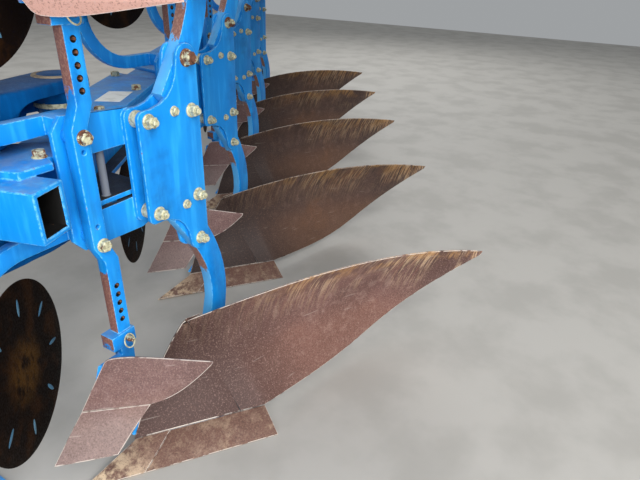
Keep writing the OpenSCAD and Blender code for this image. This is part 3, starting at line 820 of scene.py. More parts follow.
def thicken(bm: BMesh, depth: float) -> None:
    """Gives a flat mesh a thickness along Y and turns its faces outwards.

    Args:
        bm: The flat mesh, which is changed.
        depth: Its thickness.
    """
    back = bmesh.ops.extrude_face_region(bm, geom=list(bm.faces), use_keep_orig=True)
    moved = [v for v in back["geom"] if isinstance(v, bmesh.types.BMVert)]
    bmesh.ops.translate(bm, verts=moved, vec=(0, depth, 0))
    bmesh.ops.recalc_face_normals(bm, faces=bm.faces)


def round_edges(bm: BMesh, edges: list[bmesh.types.BMEdge], width: float) -> None:
    """Rounds edges and marks the new faces as worn.

    Args:
        bm: The mesh, which is changed.
        edges: Edges to round.
        width: Width of the rounding.
    """
    layer = bm.faces.layers.float.new(WORN)
    made = bmesh.ops.bevel(
        bm, geom=edges, offset=width, offset_type="OFFSET", segments=2, profile=0.5,
        affect="EDGES", clamp_overlap=False,
    )
    for face in made["faces"]:
        face[layer] = 1.0


def softened(node: str, width_mm: float, merge: bool) -> BMesh:
    """Copy of a CAD node with its edges rounded.

    Args:
        node: Name of the node.
        width_mm: Width of the rounding.
        merge: Whether flat triangles are merged, which suits shapes without windows.

    Returns:
        The mesh, with its rounded edges marked as worn.
    """
    bm = cad_mesh(node)
    if merge:
        bmesh.ops.dissolve_limit(
            bm, angle_limit=FLAT_ANGLE, verts=bm.verts, edges=bm.edges, use_dissolve_boundaries=False
        )
    sharp = [e for e in bm.edges if len(e.link_faces) == 2 and e.calc_face_angle(0) > ROUNDED_ANGLE]
    round_edges(bm, sharp, width_mm * MM)
    return bm


def cast_shape(node: str, added: BMesh, voxel_mm: float, passes: int, pull: float, kept: float) -> BMesh:
    """Copy of a CAD node with the soft edges of a sand casting.

    Args:
        node: Name of the node.
        added: Solids that are cast with it, which are freed.
        voxel_mm: Grain of the new mesh.
        passes: How often it is smoothed, which sets how round the edges are.
        pull: How far each pass pulls a point to its neighbours.
        kept: Share of the faces that is kept at the end.

    Returns:
        The softened mesh.
    """
    bm = cad_mesh(node)
    join_into(bm, added)
    source = bare_object("cast", bm)
    grain = source.modifiers.new("grain", "REMESH")
    grain.mode, grain.voxel_size = "VOXEL", voxel_mm * MM
    soft = source.modifiers.new("soft", "SMOOTH")
    soft.iterations, soft.factor = passes, pull
    source.modifiers.new("light", "DECIMATE").ratio = kept
    return frozen_mesh(source)


def turned_part(profile: Sequence[Point2], sides: int = 40) -> BMesh:
    """Solid of revolution about Z.

    Args:
        profile: Radius and height of each point, in metres, from the foot outwards and up.
        sides: Facets round it.

    Returns:
        The closed solid, with faces outwards.
    """
    bm = bmesh.new()
    turns = [2 * math.pi * i / sides for i in range(sides)]
    rings = []
    for radius, height in profile:
        if radius:
            rings.append([bm.verts.new((radius * math.cos(a), radius * math.sin(a), height)) for a in turns])
        else:
            rings.append([bm.verts.new((0, 0, height))] * sides)
    for low, high in zip(rings, rings[1:] + (rings[:1] if profile[0][0] else [])):
        for i in range(sides):
            j = (i + 1) % sides
            corners = list(dict.fromkeys((low[i], low[j], high[j], high[i])))
            if len(corners) > 2:
                bm.faces.new(corners)
    bmesh.ops.recalc_face_normals(bm, faces=bm.faces)
    return bm


@dataclass(frozen=True)
class PlateShape:
    """A flat outline that becomes a plate with softened rims.

    The outline is x along and z up, and the plate's thickness goes back from y = 0.
    """

    outline: Sequence[Point2]
    thickness: float
    rim: float
    row: float = 0.012

    def mesh(self) -> BMesh:
        """Builds the plate flat, cut in rows so that it can be bent, with its rims marked as worn.

        Returns:
            The flat plate.
        """
        bm = bmesh.new()
        face = bm.faces.new([bm.verts.new((x, 0, z)) for x, z in self.outline])
        face.normal_update()
        if face.normal.y > 0:
            face.normal_flip()
        heights = [z for _, z in self.outline]
        level = min(heights) + self.row
        while level < max(heights) - self.row / 2:
            parts = [*bm.verts, *bm.edges, *bm.faces]
            bmesh.ops.bisect_plane(bm, geom=parts, dist=TOUCHING, plane_co=(0, 0, level), plane_no=UP)
            level += self.row
        thicken(bm, self.thickness)
        rims = [
            e for e in bm.edges if len(e.link_faces) == 2 and e.calc_face_angle(0) > RIM_ANGLE
            and abs(e.verts[0].co.y - e.verts[1].co.y) < TOUCHING
        ]
        round_edges(bm, rims, self.rim)
        return bm


class PieceTree:
    """Geometry Nodes tree with named inputs. It ends in Realize Instances and Set Material."""

    def __init__(self, name: str, inputs: dict[str, str]) -> None:
        """Opens the tree. It has an input for the geometry and one for the material in any case.

        Args:
            name: Name of the tree.
            inputs: Kind of socket of each other input, by the input's name.
        """
        self.tree = bpy.data.node_groups.new(name, "GeometryNodeTree")
        face = self.tree.interface
        for label, kind in {"Geometry": "Geometry", **inputs, "Material": "Material"}.items():
            face.new_socket(label, in_out="INPUT", socket_type=f"NodeSocket{kind}")
        face.new_socket("Geometry", in_out="OUTPUT", socket_type="NodeSocketGeometry")
        self.given = add_node(self.tree, "NodeGroupInput").outputs

    def value(self, term: object) -> Socket:
        """Result of a formula, for use in several places."""
        return formula(self.tree, term)

    def close(self, geometry: Socket) -> None:
        """Makes copies real, sets the material and ends the tree.

        Args:
            geometry: What the tree has made.
        """
        real = add_node(self.tree, "GeometryNodeRealizeInstances", None, {0: geometry})
        dressed = add_node(
            self.tree, "GeometryNodeSetMaterial", None,
            {"Geometry": real.outputs[0], "Material": self.given["Material"]},
        )
        add_node(self.tree, "NodeGroupOutput", None, {0: dressed.outputs[0]})

    def run(self, target: Object, values: dict[str, object]) -> None:
        """Puts the tree on an object and sets its inputs by their identifiers.

        Args:
            target: The object.
            values: Values of the inputs, by their names.
        """
        modifier = target.modifiers.new("made", "NODES")
        modifier.node_group = self.tree
        for item in self.tree.interface.items_tree:
            if item.in_out == "INPUT" and item.name in values:
                modifier[item.identifier] = values[item.name]


class CylinderBend(PieceTree):
    """Lays a flat plate on the inside of a cylinder.

    The plate is drawn with x along the cylinder, z up and y as depth behind the face.
    """

    def __init__(self) -> None:
        """Builds the tree. A point keeps its height, which sets its angle on the cylinder."""
        super().__init__("LayOnCylinder", {"Radius": "Float", "Axis Height": "Float"})
        radius, height = self.given["Radius"], self.given["Axis Height"]
        place = add_node(self.tree, "GeometryNodeInputPosition").outputs[0]
        along, behind, up = add_node(self.tree, "ShaderNodeSeparateXYZ", None, {0: place}).outputs
        angle = self.value(("ARCSINE", ("DIVIDE", ("SUBTRACT", up, height), radius)))
        deep = self.value(("ADD", radius, behind))
        foot = ("SQRT", ("SUBTRACT", product(radius, radius), product(height, height)))
        y = self.value(("SUBTRACT", product(deep, ("COSINE", angle)), foot))
        z = self.value(("ADD", height, product(deep, ("SINE", angle))))
        bent = add_node(self.tree, "ShaderNodeCombineXYZ", None, {0: along, 1: y, 2: z})
        moved = add_node(
            self.tree, "GeometryNodeSetPosition", None,
            {"Geometry": self.given["Geometry"], "Position": bent.outputs[0]},
        )
        self.close(moved.outputs[0])

    def bend(self, flat: BMesh, radius: float, height: float, finish: Material) -> BMesh:
        """Bends a flat plate.

        Args:
            flat: The plate drawn flat, which is freed.
            radius: Radius of the cylinder.
            height: Height of its axis.
            finish: Material of the plate.

        Returns:
            The bent mesh.
        """
        source = bare_object("flat", flat)
        self.run(source, {"Radius": radius, "Axis Height": height, "Material": finish})
        return frozen_mesh(source)


class PointTree(PieceTree):
    """Tree that sets one instance on each point of a mesh, turned as vectors on the points say."""

    def stored(self, name: str) -> Socket:
        """A vector that the points carry."""
        kind = {"data_type": "FLOAT_VECTOR"}
        return add_node(self.tree, "GeometryNodeInputNamedAttribute", kind, {"Name": name}).outputs[0]

    def set_on_points(self, instance: Socket, turn: Socket) -> None:
        """Sets an instance on every point and ends the tree.

        Args:
            instance: What is set on a point.
            turn: How it is turned there.
        """
        points = add_node(self.tree, "GeometryNodeMeshToPoints", None, {0: self.given["Geometry"]})
        copies = add_node(
            self.tree, "GeometryNodeInstanceOnPoints", None,
            {"Points": points.outputs[0], "Instance": instance, "Rotation": turn},
        )
        self.close(copies.outputs[0])

    def points(self, name: str, spots: Sequence[Vector], **vectors: Sequence[Iterable[float]]) -> Object:
        """Makes an object of bare points.

        Args:
            name: Name of the object.
            spots: The points.
            vectors: Vectors that the points carry, by name.

        Returns:
            The object.
        """
        mesh = bpy.data.meshes.new(name)
        mesh.from_pydata([tuple(spot) for spot in spots], [], [])
        for label, values in vectors.items():
            carried = mesh.attributes.new(label, "FLOAT_VECTOR", "POINT")
            carried.data.foreach_set("vector", [c for value in values for c in value])
        return linked(name, mesh)


@dataclass(frozen=True)
class BoltStyle:
    """Sizes of a bolt head or nut with its flange and what shows of the thread, in millimetres."""

    across_flats: float
    head: float
    flange: float
    flange_t: float
    stub: float
    stub_l: float

    def inputs(self) -> dict[str, float]:
        """Radius and height of each stage, in metres, by the names of the tree's inputs.

        Returns:
            The values, by name.
        """
        sizes = {
            "Flange Radius": self.flange / 2, "Flange Height": self.flange_t,
            "Head Radius": self.across_flats / math.sqrt(3), "Head Height": self.head,
            "Stub Radius": self.stub / 2, "Stub Height": self.stub_l,
        }
        return {name: size * MM for name, size in sizes.items()}


FLANGE_NUT = BoltStyle(30, 19, 43, 5, 20, 9)
HEX_HEAD = BoltStyle(30, 13, 40, 4, 14, 0.6)
CLAMP_HEAD = BoltStyle(30, 15, 38, 3, 14, 0.6)
SMALL_HEAD = BoltStyle(22, 9, 30, 3, 10, 0.6)
TOP_NUT = BoltStyle(34, 22, 50, 4, 22, 10)


class BoltRow(PointTree):
    """Sets a bolt head on each point of a mesh, along its direction and with a spin of its own."""

    # Stages of a bolt: sides, share of the height that is straight, and the radius above it.
    STAGES = {"Flange": (24, 0.55, 0.86), "Head": (6, 0.82, 0.86), "Stub": (16, 0.80, 0.82)}
    # Spin from one bolt to the next, in radians.
    SPIN = 0.9

    def __init__(self) -> None:
        """Builds the tree from a round flange, a chamfered six-sided head and a threaded stub."""
        names = [f"{stage} {size}" for stage in self.STAGES for size in ("Radius", "Height")]
        super().__init__("BoltsOnPoints", {name: "Float" for name in names})
        parts, base = [], 0.0
        for stage, (sides, straight, narrowed) in self.STAGES.items():
            radius, height = self.given[f"{stage} Radius"], self.given[f"{stage} Height"]
            for share, ratio in ((straight, 1.0), (1 - straight, narrowed)):
                depth, top = self.value(product(height, share)), self.value(product(radius, ratio))
                parts.append(self.frustum(sides, radius, top, depth, base))
                base = self.value(("ADD", base, depth))
        bolt = add_node(self.tree, "GeometryNodeJoinGeometry")
        for part in reversed(parts):
            self.tree.links.new(part, bolt.inputs[0])
        upright = add_node(
            self.tree, "FunctionNodeAlignRotationToVector", {"axis": "Z"},
            {"Vector": self.stored("direction")},
        )
        turned = add_node(
            self.tree, "FunctionNodeRotateRotation", {"rotation_space": "LOCAL"},
            {0: upright.outputs[0], 1: self.stored("spin")},
        )
        self.set_on_points(bolt.outputs[0], turned.outputs[0])

    def frustum(self, sides: int, low: object, high: object, depth: object, base: object) -> Socket:
        """A frustum with its ends filled.

        Args:
            sides: Sides round it.
            low: Radius of its foot.
            high: Radius of its upper end.
            depth: Its height.
            base: Height that it stands on.

        Returns:
            Its geometry.
        """
        cone = add_node(
            self.tree, "GeometryNodeMeshCone", {"fill_type": "NGON"},
            {"Vertices": sides, "Radius Bottom": low, "Radius Top": high, "Depth": depth},
        )
        lift = add_node(self.tree, "ShaderNodeCombineXYZ", None, {2: base})
        moves = {"Geometry": cone.outputs[0], "Translation": lift.outputs[0]}
        return add_node(self.tree, "GeometryNodeTransform", None, moves).outputs[0]

    def make(self, name: str, style: BoltStyle, spots: Sequence[Spot], finish: Material, body: str) -> None:
        """Makes a piece of the bolts of one style.

        Args:
            name: Name of the piece.
            style: Sizes of the bolts.
            spots: Foot and outward direction of each bolt, in the plough's frame.
            finish: Material.
            body: Body that the bolts ride on.
        """
        feet, ways = zip(*spots)
        spins = [(0, 0, self.SPIN * i) for i in range(len(spots))]
        source = self.points(name, feet, direction=ways, spin=spins)
        self.run(source, {**style.inputs(), "Material": finish})
        register(frozen(source, name), body, "", finish)


class Repeats(PointTree):
    """Sets a small piece on each point of a mesh, turned as the point says."""

    def __init__(self) -> None:
        """Builds the tree with the piece as an input."""
        super().__init__("PieceOnPoints", {"Piece": "Object"})
        original = {"transform_space": "ORIGINAL"}
        piece = add_node(self.tree, "GeometryNodeObjectInfo", original, {"Object": self.given["Piece"]})
        self.set_on_points(piece.outputs["Geometry"], self.stored("turn"))

    def make(self, name: str, piece: BMesh, places: Sequence[Matrix], finish: Material,
             body: str = "frame", slot: str = "") -> None:
        """Makes one piece of copies at several places.

        Args:
            name: Name of the finished piece.
            piece: One copy in its own frame, which is freed.
            places: Where the copies go, without mirrors.
            finish: Material.
            body: Body that they ride on.
            slot: The record's material slot, where they have one.
        """
        one = bare_object("one", piece)
        turns = [place.to_euler() for place in places]
        source = self.points(name, [place.translation for place in places], turn=turns)
        self.run(source, {"Piece": one, "Material": finish})
        made = frozen(source, name)
        discard(one)
        register(made, body, slot, finish)


@dataclass
class MainBodies:
    """Twisted mouldboards, with the shins laid on the cylinder that their front part follows.

    Edges are in the share's frame: along its line, behind the face and up.
    """

    finishes: Finishes
    bend: CylinderBend
    share_angle: float = 38.0
    share_start: Point2 = (0.514, -0.008)
    radius: float = 0.395
    axis_height: float = 0.350
    thickness: float = 0.008
    seam_height: float = 0.059
    seam_at: float = 0.491
    seam_step: float = 0.0015
    share_end: float = 0.583
    top_start: Point2 = (0.3475, 0.418)
    top_curve: Sequence[Point3] = ((0.631, 0.147, 0.522), (1.168, 0.320, 0.512), (1.603, 0.231, 0.460))
    tail_curve: Sequence[Point3] = ((1.235, 0.380, 0.012), (1.110, 0.384, 0.106), (1.588, 0.223, 0.448))
    tail_from: float = 0.12
    columns: int = 75
    rows: int = 22
    shin_foot: Point2 = (0.121, 0.059)
    shin_top: Point2 = (0.333, 0.415)
    corner: float = 0.030
    rim: float = 0.0024
    gap: float = 0.0030
    unworn: float = 0.008

    def share_frame(self) -> Matrix:
        """Frame with x along the share's edge, from its point, and y behind the face."""
        turn = Matrix.Rotation(math.radians(180 - self.share_angle), 4, "Z")
        return Matrix.Translation((*self.share_start, 0)) @ turn

    def on_face(self, point: Point2) -> Vector:
        """Point on the cylinder, from its place along the share's line and its height.

        Args:
            point: Place along the share's line, and height.

        Returns:
            The point in the share's frame.
        """
        along, height = point
        foot = math.sqrt(self.radius**2 - self.axis_height**2)
        return Vector((along, math.sqrt(self.radius**2 - (height - self.axis_height) ** 2) - foot, height))

    def low_edge(self, u: float) -> Vector:
        """Lower edge of the mouldboard: the seam with the share, then the free edge up to the tail.

        Args:
            u: How far along the mouldboard.

        Returns:
            The point in the share's frame.
        """
        seam_end = self.on_face((self.share_end, self.seam_height))
        if u < self.tail_from:
            seam_start = self.on_face((self.seam_at + self.seam_step, self.seam_height))
            return seam_start.lerp(seam_end, u / self.tail_from)
        return Vector(curve_at([seam_end, *self.tail_curve], (u - self.tail_from) / (1 - self.tail_from)))

    def high_edge(self, u: float) -> Vector:
        """Upper edge of the mouldboard."""
        return Vector(curve_at([self.on_face(self.top_start), *self.top_curve], u))

    def at(self, u: float, t: float, back: float) -> Vector:
        """Point of the mouldboard.

        Args:
            u: How far along it, from the shin to the tail.
            t: How far up the section, which is an arc from the lower to the upper edge.
            back: Depth behind the face.

        Returns:
            The point in the share's frame.
        """
        low, high = self.low_edge(u), self.high_edge(u)
        way = high - low
        chord = math.hypot(way.y, way.z)
        arc = math.sqrt(self.radius**2 - (chord * (t - 0.5)) ** 2)
        bulge = arc - math.sqrt(self.radius**2 - chord**2 / 4)
        return low.lerp(high, t) + Vector((0, way.z, -way.y)) * ((bulge + back) / chord)

    def mouldboard(self) -> BMesh:
        """Builds the mouldboard in the share's frame, with softened rims.

        Returns:
            The mesh, with its rims marked as worn.
        """
        bm = bmesh.new()
        along = bm.verts.layers.float.new(ALONG)
        front, rear = (
            [
                [bm.verts.new(self.at(i / self.columns, j / self.rows, back)) for j in range(self.rows + 1)]
                for i in range(self.columns + 1)
            ]
            for back in (0.0, self.thickness)
        )
        for i in range(self.columns):
            for j in range(self.rows):
                bm.faces.new((front[i][j], front[i][j + 1], front[i + 1][j + 1], front[i + 1][j]))
                bm.faces.new((rear[i][j], rear[i + 1][j], rear[i + 1][j + 1], rear[i][j + 1]))
            bm.faces.new((front[i][0], front[i + 1][0], rear[i + 1][0], rear[i][0]))
            bm.faces.new((front[i][-1], rear[i][-1], rear[i + 1][-1], front[i + 1][-1]))
        for j in range(self.rows):
            bm.faces.new((front[0][j], rear[0][j], rear[0][j + 1], front[0][j + 1]))
            bm.faces.new((front[-1][j], front[-1][j + 1], rear[-1][j + 1], rear[-1][j]))
        bmesh.ops.recalc_face_normals(bm, faces=bm.faces)
        for i in range(self.columns + 1):
            for v in (*front[i], *rear[i]):
                v[along] = i / self.columns
        seam = {*front[0], *rear[0]}
        rims = [e for e in bm.edges if e.calc_face_angle(0) > RIM_ANGLE and not seam.issuperset(e.verts)]
        round_edges(bm, rims, self.rim)
        return bm

    def shin_outline(self) -> list[Point2]:
        """Outline of the shin piece ahead of the mouldboard, with a rounded upper corner.

        Returns:
            Corners of the outline, flat.
        """
        right_foot = (self.seam_at + self.seam_step - self.gap, self.seam_height)
        right_top = (self.top_start[0] - self.gap, self.top_start[1])
        rounded = fillet(right_top, self.shin_top, self.shin_foot, self.corner)
        return [self.shin_foot, right_foot, right_top, *rounded]

    def shin(self) -> BMesh:
        """Builds the shin flat, with its rims worn bright but for the one along the mouldboard.

        Returns:
            The flat plate.
        """
        bm = PlateShape(self.shin_outline(), self.thickness, self.rim).mesh()
        worn = bm.faces.layers.float[WORN]
        foot, top = Vector((self.seam_at, self.seam_height)), Vector(self.top_start)
        side = (top - foot).normalized().orthogonal()
        for face in bm.faces:
            if abs((face.calc_center_median().xz - foot).dot(side)) < self.unworn:
                face[worn] = 0.0
        return bm

    def build(self) -> None:
        """Makes the boards of each body, the lower and the upper ones together."""
        for k in LAYOUT.numbers():
            places = [place @ self.share_frame() for place in LAYOUT.both(k)]
            # Every body but the first takes the darker steel: painted shade.
            finish = self.finishes.board if k == 1 else self.finishes.shaded_board
            whole = placed_copies(self.mouldboard(), places)
            bent = self.bend.bend(self.shin(), self.radius, self.axis_height, finish)
            join_into(whole, placed_copies(bent, places))
            piece = bare_object(f"mouldboard_faces_{k}", whole)
            register(piece, "frame", "mouldboard_steel", finish, f"mouldboards_{k}")


@dataclass
class Skimmers:
    """Small boards with their own shares, on the stalks ahead of the main bodies."""

    finishes: Finishes
    bend: CylinderBend
    angle: float = 50.0
    start: Point3 = (0.634, -0.009, 0.200)
    radius: float = 0.600
    axis_height: float = 0.400
    thickness: float = 0.007
    rim: float = 0.0022
    seam: Sequence[Point2] = ((0.077, 0.120), (0.275, 0.1235))
    seam_gap: float = 0.0005
    tail: Sequence[Point2] = ((0.275, 0.124), (0.340, 0.130), (0.400, 0.165), (0.462, 0.222))
    high: Sequence[Point2] = ((0.155, 0.262), (0.210, 0.280), (0.330, 0.250), (0.465, 0.231))
    edge: Sequence[Point2] = ((0.0, 0.0), (0.090, 0.004), (0.177, 0.010))
    corner: float = 0.028
    tail_steps: int = 12
    high_steps: int = 16
    lift: float = 0.100

    def places(self, k: int) -> list[Matrix]:
        """Places of the lower skimmer k and of the upper one, which sits nearer to the beam.

        Args:
            k: Number of the body.

        Returns:
            Matrices from the skimmer's own frame to the plough's frame.
        """
        turn = Matrix.Rotation(math.radians(180 - self.angle), 4, "Z")
        own = Matrix.Translation(self.start) @ turn
        low, high = LAYOUT.both(k)
        return [low @ own, Matrix.Translation(-UP * self.lift) @ high @ own]

    def board_outline(self) -> list[Point2]:
        """Outline of the upper board.

        Returns:
            Corners of the outline, flat.
        """
        left, right = ((x, z + self.seam_gap) for x, z in self.seam)
        top = curve(self.high, self.high_steps)[::-1]
        rounded = fillet(top[-2], top[-1], left, self.corner)
        return [left, right, *curve(self.tail, self.tail_steps), *top[:-2], *rounded]

    def build(self) -> None:
        """Makes the skimmers of each body."""
        finish = self.finishes.skimmer
        share = [*self.edge, self.seam[1], self.seam[0]]
        for k in LAYOUT.numbers():
            whole = bmesh.new()
            for outline in (self.board_outline(), share):
                flat = PlateShape(outline, self.thickness, self.rim).mesh()
                bent = self.bend.bend(flat, self.radius, self.axis_height, finish)
                join_into(whole, placed_copies(bent, self.places(k)))
            piece = bare_object(f"skimmer_faces_{k}", whole)
            register(piece, "frame", "skimmer_steel", finish, f"skimmers_{k}")


@dataclass(frozen=True)
class Coat:
    """How a CAD node is dressed: finish, width of its rounded edges in millimetres, body and slot."""

    node: str
    finish: Material
    width_mm: float = 2.0
    body: str = "frame"
    slot: str = "blue_paint"


@dataclass
class PaintedSteel:
    """Fabricated and forged parts under paint: the CAD's own shapes with rounded, chipped edges."""

    finishes: Finishes
    windowed: tuple[str, ...] = ("leg_plates", "socket_tube", "stand_socket", "stalks")
    cast_grain: float = 6.0
    cast_passes: int = 12
    cast_pull: float = 0.5
    cast_kept: float = 0.35
    pin_at: Point2 = (0.200, -0.291)
    boss_r: float = 0.080
    boss_waist: float = 0.060
    boss_margin: float = 0.012
    boss_front: float = 0.300
    arm_low: float = 0.150
    arm_t: float = 0.045
    arm_thinned: float = 0.046
    thin_from: float = 0.460
    thin_over: float = 0.120
    wall_t: float = 0.024
    walls: Sequence[tuple[float, float, float, float]] = (
        (0.385, 0.720, -0.196, 0.0), (0.262, 0.660, -0.358, 0.3187),
    )
    wall_foot: float = 0.086
    wall_head: float = 0.155
    wall_curve: Sequence[Point2] = ((0.095, 0.0), (0.055, 0.012), (0.025, 0.032))
    tie_at: Point2 = (0.262, -0.070)
    tie_r: float = 0.013
    level_from: float = 0.9
    tube_end: Point2 = (0.505, 0.060)
    tube_turn: float = 18.0
    tube_bore: Point2 = (0.0375, 0.0525)
    share_tip: Point2 = (0.514, -0.008)
    share_reach: float = 0.330
    plate_half: float = 0.0332
    plate_front: Point2 = (0.190, 0.222)
    plate_back: float = 0.015
    hole_x: float = 0.3465
    holes_low: float = 0.300
    holes_high: float = 0.247
    hole_step: float = 0.029
    hole_count: int = 5
    hole_reach: float = 0.0092
    crown_r: float = 0.300
    tread_deep: float = 0.010

    def arm_walls(self) -> BMesh:
        """Side walls between the fork plates of the casting, which curve up to its thin ends.

        A row of walls is the x of its end and of its root, then y at the end and the rise of y with x. A
        point of wall_curve is counted from the end and from the foot.

        Returns:
            The walls in the plough's frame.
        """
        out = bmesh.new()
        foot, head = self.wall_foot, self.wall_head
        for end, root, side, slope in self.walls:
            curved = [(end + dx, foot + rise) for dx, rise in self.wall_curve]
            for sign in (1, -1):
                bm = bmesh.new()
                bm.faces.new([
                    bm.verts.new((x, side + slope * (x - end), LAYOUT.axis_height + sign * rise))
                    for x, rise in [(root, foot), *curved, (end, head), (root, head)]
                ])
                thicken(bm, self.wall_t)
                bm.transform(LAYOUT.body(1))
                join_into(out, bm)
        return out

    def thin_ends(self, bm: BMesh) -> None:
        """Thins the casting towards its pin, where its fork end and boss are lighter.

        Args:
            bm: The casting's mesh, which is changed.
        """
        to_body = LAYOUT.body(1).inverted()
        lowest = self.arm_low - self.boss_margin
        waist = 1 - self.boss_waist / self.boss_r
        for v in bm.verts:
            p = to_body @ v.co
            rise = p.z - LAYOUT.axis_height
            height = abs(rise)
            out = p.xy - Vector(self.pin_at)
            near = max(0.0, min(1.0, (self.thin_from - p.x) / self.thin_over))
            lift = self.arm_thinned * near * near * (3 - 2 * near)
            if height < lowest and out.length < self.boss_r + self.boss_margin and p.x < self.boss_front:
                v.co.xy -= out * waist
            elif lowest <= height < self.arm_low + self.arm_t and lift:
                share = 1 - max(0.0, height - self.arm_low) / self.arm_t
                v.co.z += math.copysign(lift * share, rise)

    def trim_front(self, bm: BMesh, k: int) -> None:
        """Draws the front edges of a carrier's two plates back to the bolts.

        Args:
            bm: The carrier's mesh, which is changed.
            k: Number of its body.
        """
        to_body = LAYOUT.body(k).inverted()
        start, end = self.plate_front
        for v in bm.verts:
            p = to_body @ v.co
            if start < p.x < end and abs(p.y) < self.plate_half:
                v.co.x -= self.plate_back

    def mark_carrier_dirt_and_shade(self, bm: BMesh, k: int) -> None:
        """Marks grey dirt on a carrier's tie rod, and painted shade, almost black, on what faces up under the
        beam.

        Args:
            bm: The carrier's mesh.
            k: Number of its body.
        """
        layer = bm.faces.layers.float.new(DIRT_AND_SHADE)
        to_body = LAYOUT.body(k).inverted()
        for face in bm.faces:
            p = to_body @ face.calc_center_median()
            if (p.xy - Vector(self.tie_at)).length < self.tie_r:
                face[layer] = GREY_DIRT
            # Painted shade: level faces under the beam, inside the carrier, are laid almost black.
            elif face.normal.z > self.level_from and p.z < LAYOUT.axis_height:
                face[layer] = PAINTED_SHADE

    def shade_tube_bore(self, bm: BMesh) -> None:
        """Marks the inside of the square tube black: painted shade, with the dirt that it holds.

        Args:
            bm: The tube's mesh.
        """
        layer = bm.faces.layers.float.new(DIRT_AND_SHADE)
        place = Matrix.Translation(LAYOUT.point(1, *self.tube_end, 0.0))
        to_tube = (place @ Matrix.Rotation(math.radians(self.tube_turn), 4, "Z")).inverted()
        for face in bm.faces:
            p = to_tube @ face.calc_center_median()
            # Painted shade, with dirt: the bore is laid black.
            if abs(p.x) < self.tube_bore[0] and abs(p.z) < self.tube_bore[1]:
                face[layer] = ALL_BLACK

    def blacken_holes(self, bm: BMesh) -> None:
        """Marks the walls of the adjusting holes in the stalks black and unworn.

        Args:
            bm: The mesh of all the stalks.
        """
        layer, worn = bm.faces.layers.float.new(DIRT_AND_SHADE), bm.faces.layers.float[WORN]
        steps = [i * self.hole_step for i in range(self.hole_count)]
        rises = [-self.holes_low - step for step in steps] + [self.holes_high + step for step in steps]
        spots = [LAYOUT.point(k, self.hole_x, 0.0, rise).xz for k in LAYOUT.numbers() for rise in rises]
        for face in bm.faces:
            middle = face.calc_center_median().xz
            if any((middle - spot).length < self.hole_reach for spot in spots):
                face[layer], face[worn] = ALL_BLACK, 0.0

    def lower_crown(self, bm: BMesh) -> None:
        """Draws the tyre's crown in by the depth of its tread, so that the lugs end where the CAD does.

        Args:
            bm: The tyre's mesh, which is changed.
        """
        low, high = box_of("wheel_tyre")
        axis = ((low + high) / 2).xz
        for v in bm.verts:
            out = v.co.xz - axis
            if out.length > self.crown_r:
                v.co.xz = axis + out * (1 - self.tread_deep / out.length)

    def mark_tips(self, bm: BMesh, k: int) -> None:
        """Stores how near each point of the shares is to the share's tip.

        Args:
            bm: The mesh of a body's shares.
            k: Number of the body.
        """
        layer = bm.verts.layers.float.new(TIP)
        tip = LAYOUT.body(k) @ Vector((*self.share_tip, 0))
        for v in bm.verts:
            v[layer] = 1 - (v.co - tip).xy.length / self.share_reach

    def coats(self) -> list[Coat]:
        """Every painted node and the shares, in the order in which they are dressed.

        Returns:
            One row for each node.
        """
        f, numbers = self.finishes, LAYOUT.numbers()
        plain = ["turnover_shaft", "main_beam", "wheel_bracket", "stand_socket", "coulter_arms"]
        return [
            *(Coat(f"legs_{k}", f.leg_paint) for k in numbers),
            Coat("stalks", f.stalk_paint),
            Coat("swing_arm", f.cast_paint),
            Coat("socket_tube", f.paint, 3.5),
            *(Coat(f"leg_plates_{k}", f.paint) for k in numbers),
            *(Coat(node, f.paint) for node in plain),
            *(Coat(f"shares_{k}", f.share, 1.5, slot="share_steel") for k in numbers),
            Coat("headstock", f.paint, 2.5, "headstock"),
            Coat("cross_shaft", f.black, 1.5, "headstock", "black_paint"),
            Coat("cylinder_barrel", f.paint, 1.0, "turnover_barrel"),
            Coat("cylinder_rod", f.chrome, 1.0, "turnover_rod", "chromed_rod"),
            Coat("wheel_arm", f.paint, 2.0, "wheel_arm"),
            Coat("wheel_rim", f.paint, 1.0, "depth_wheel"),
            Coat("wheel_tyre", f.rubber, 4.0, "depth_wheel", "tyre"),
            Coat("stand_leg", f.paint, 1.5, "stand"),
        ]

    def shape(self, node: str, width_mm: float) -> BMesh:
        """Builds the finished shape of a node.

        Args:
            node: Name of the CAD node.
            width_mm: Width of its rounded edges.

        Returns:
            The mesh, with the marks that its finish reads.
        """
        if node == "swing_arm":
            made = cast_shape(
                node, self.arm_walls(), self.cast_grain, self.cast_passes, self.cast_pull, self.cast_kept
            )
            self.thin_ends(made)
            return made
        made = softened(node, width_mm, not node.startswith(self.windowed))
        if node.startswith("leg_plates"):
            self.trim_front(made, int(node[-1]))
            self.mark_carrier_dirt_and_shade(made, int(node[-1]))
        elif node.startswith("shares"):
            self.mark_tips(made, int(node[-1]))
        elif node == "socket_tube":
            self.shade_tube_bore(made)
        elif node == "stalks":
            self.blacken_holes(made)
        elif node == "wheel_tyre":
            self.lower_crown(made)
        return made

    def build(self) -> None:
        """Dresses every painted node and the shares."""
        for coat in self.coats():
            piece = bare_object(f"{coat.node}_finished", self.shape(coat.node, coat.width_mm))
            register(piece, coat.body, coat.slot, coat.finish, coat.node)


@dataclass(frozen=True)
class DiscPlace:
    """Where one of a body's two discs is, in the body's frame, and its angle to the travel."""

    name: str
    side: Side
    centre: Point3
    angle: float

    @property
    def axle(self) -> Vector:
        """Direction from the disc to its hub."""
        turn = math.radians(self.angle)
        return Vector((math.sin(turn), -math.cos(turn), 0))


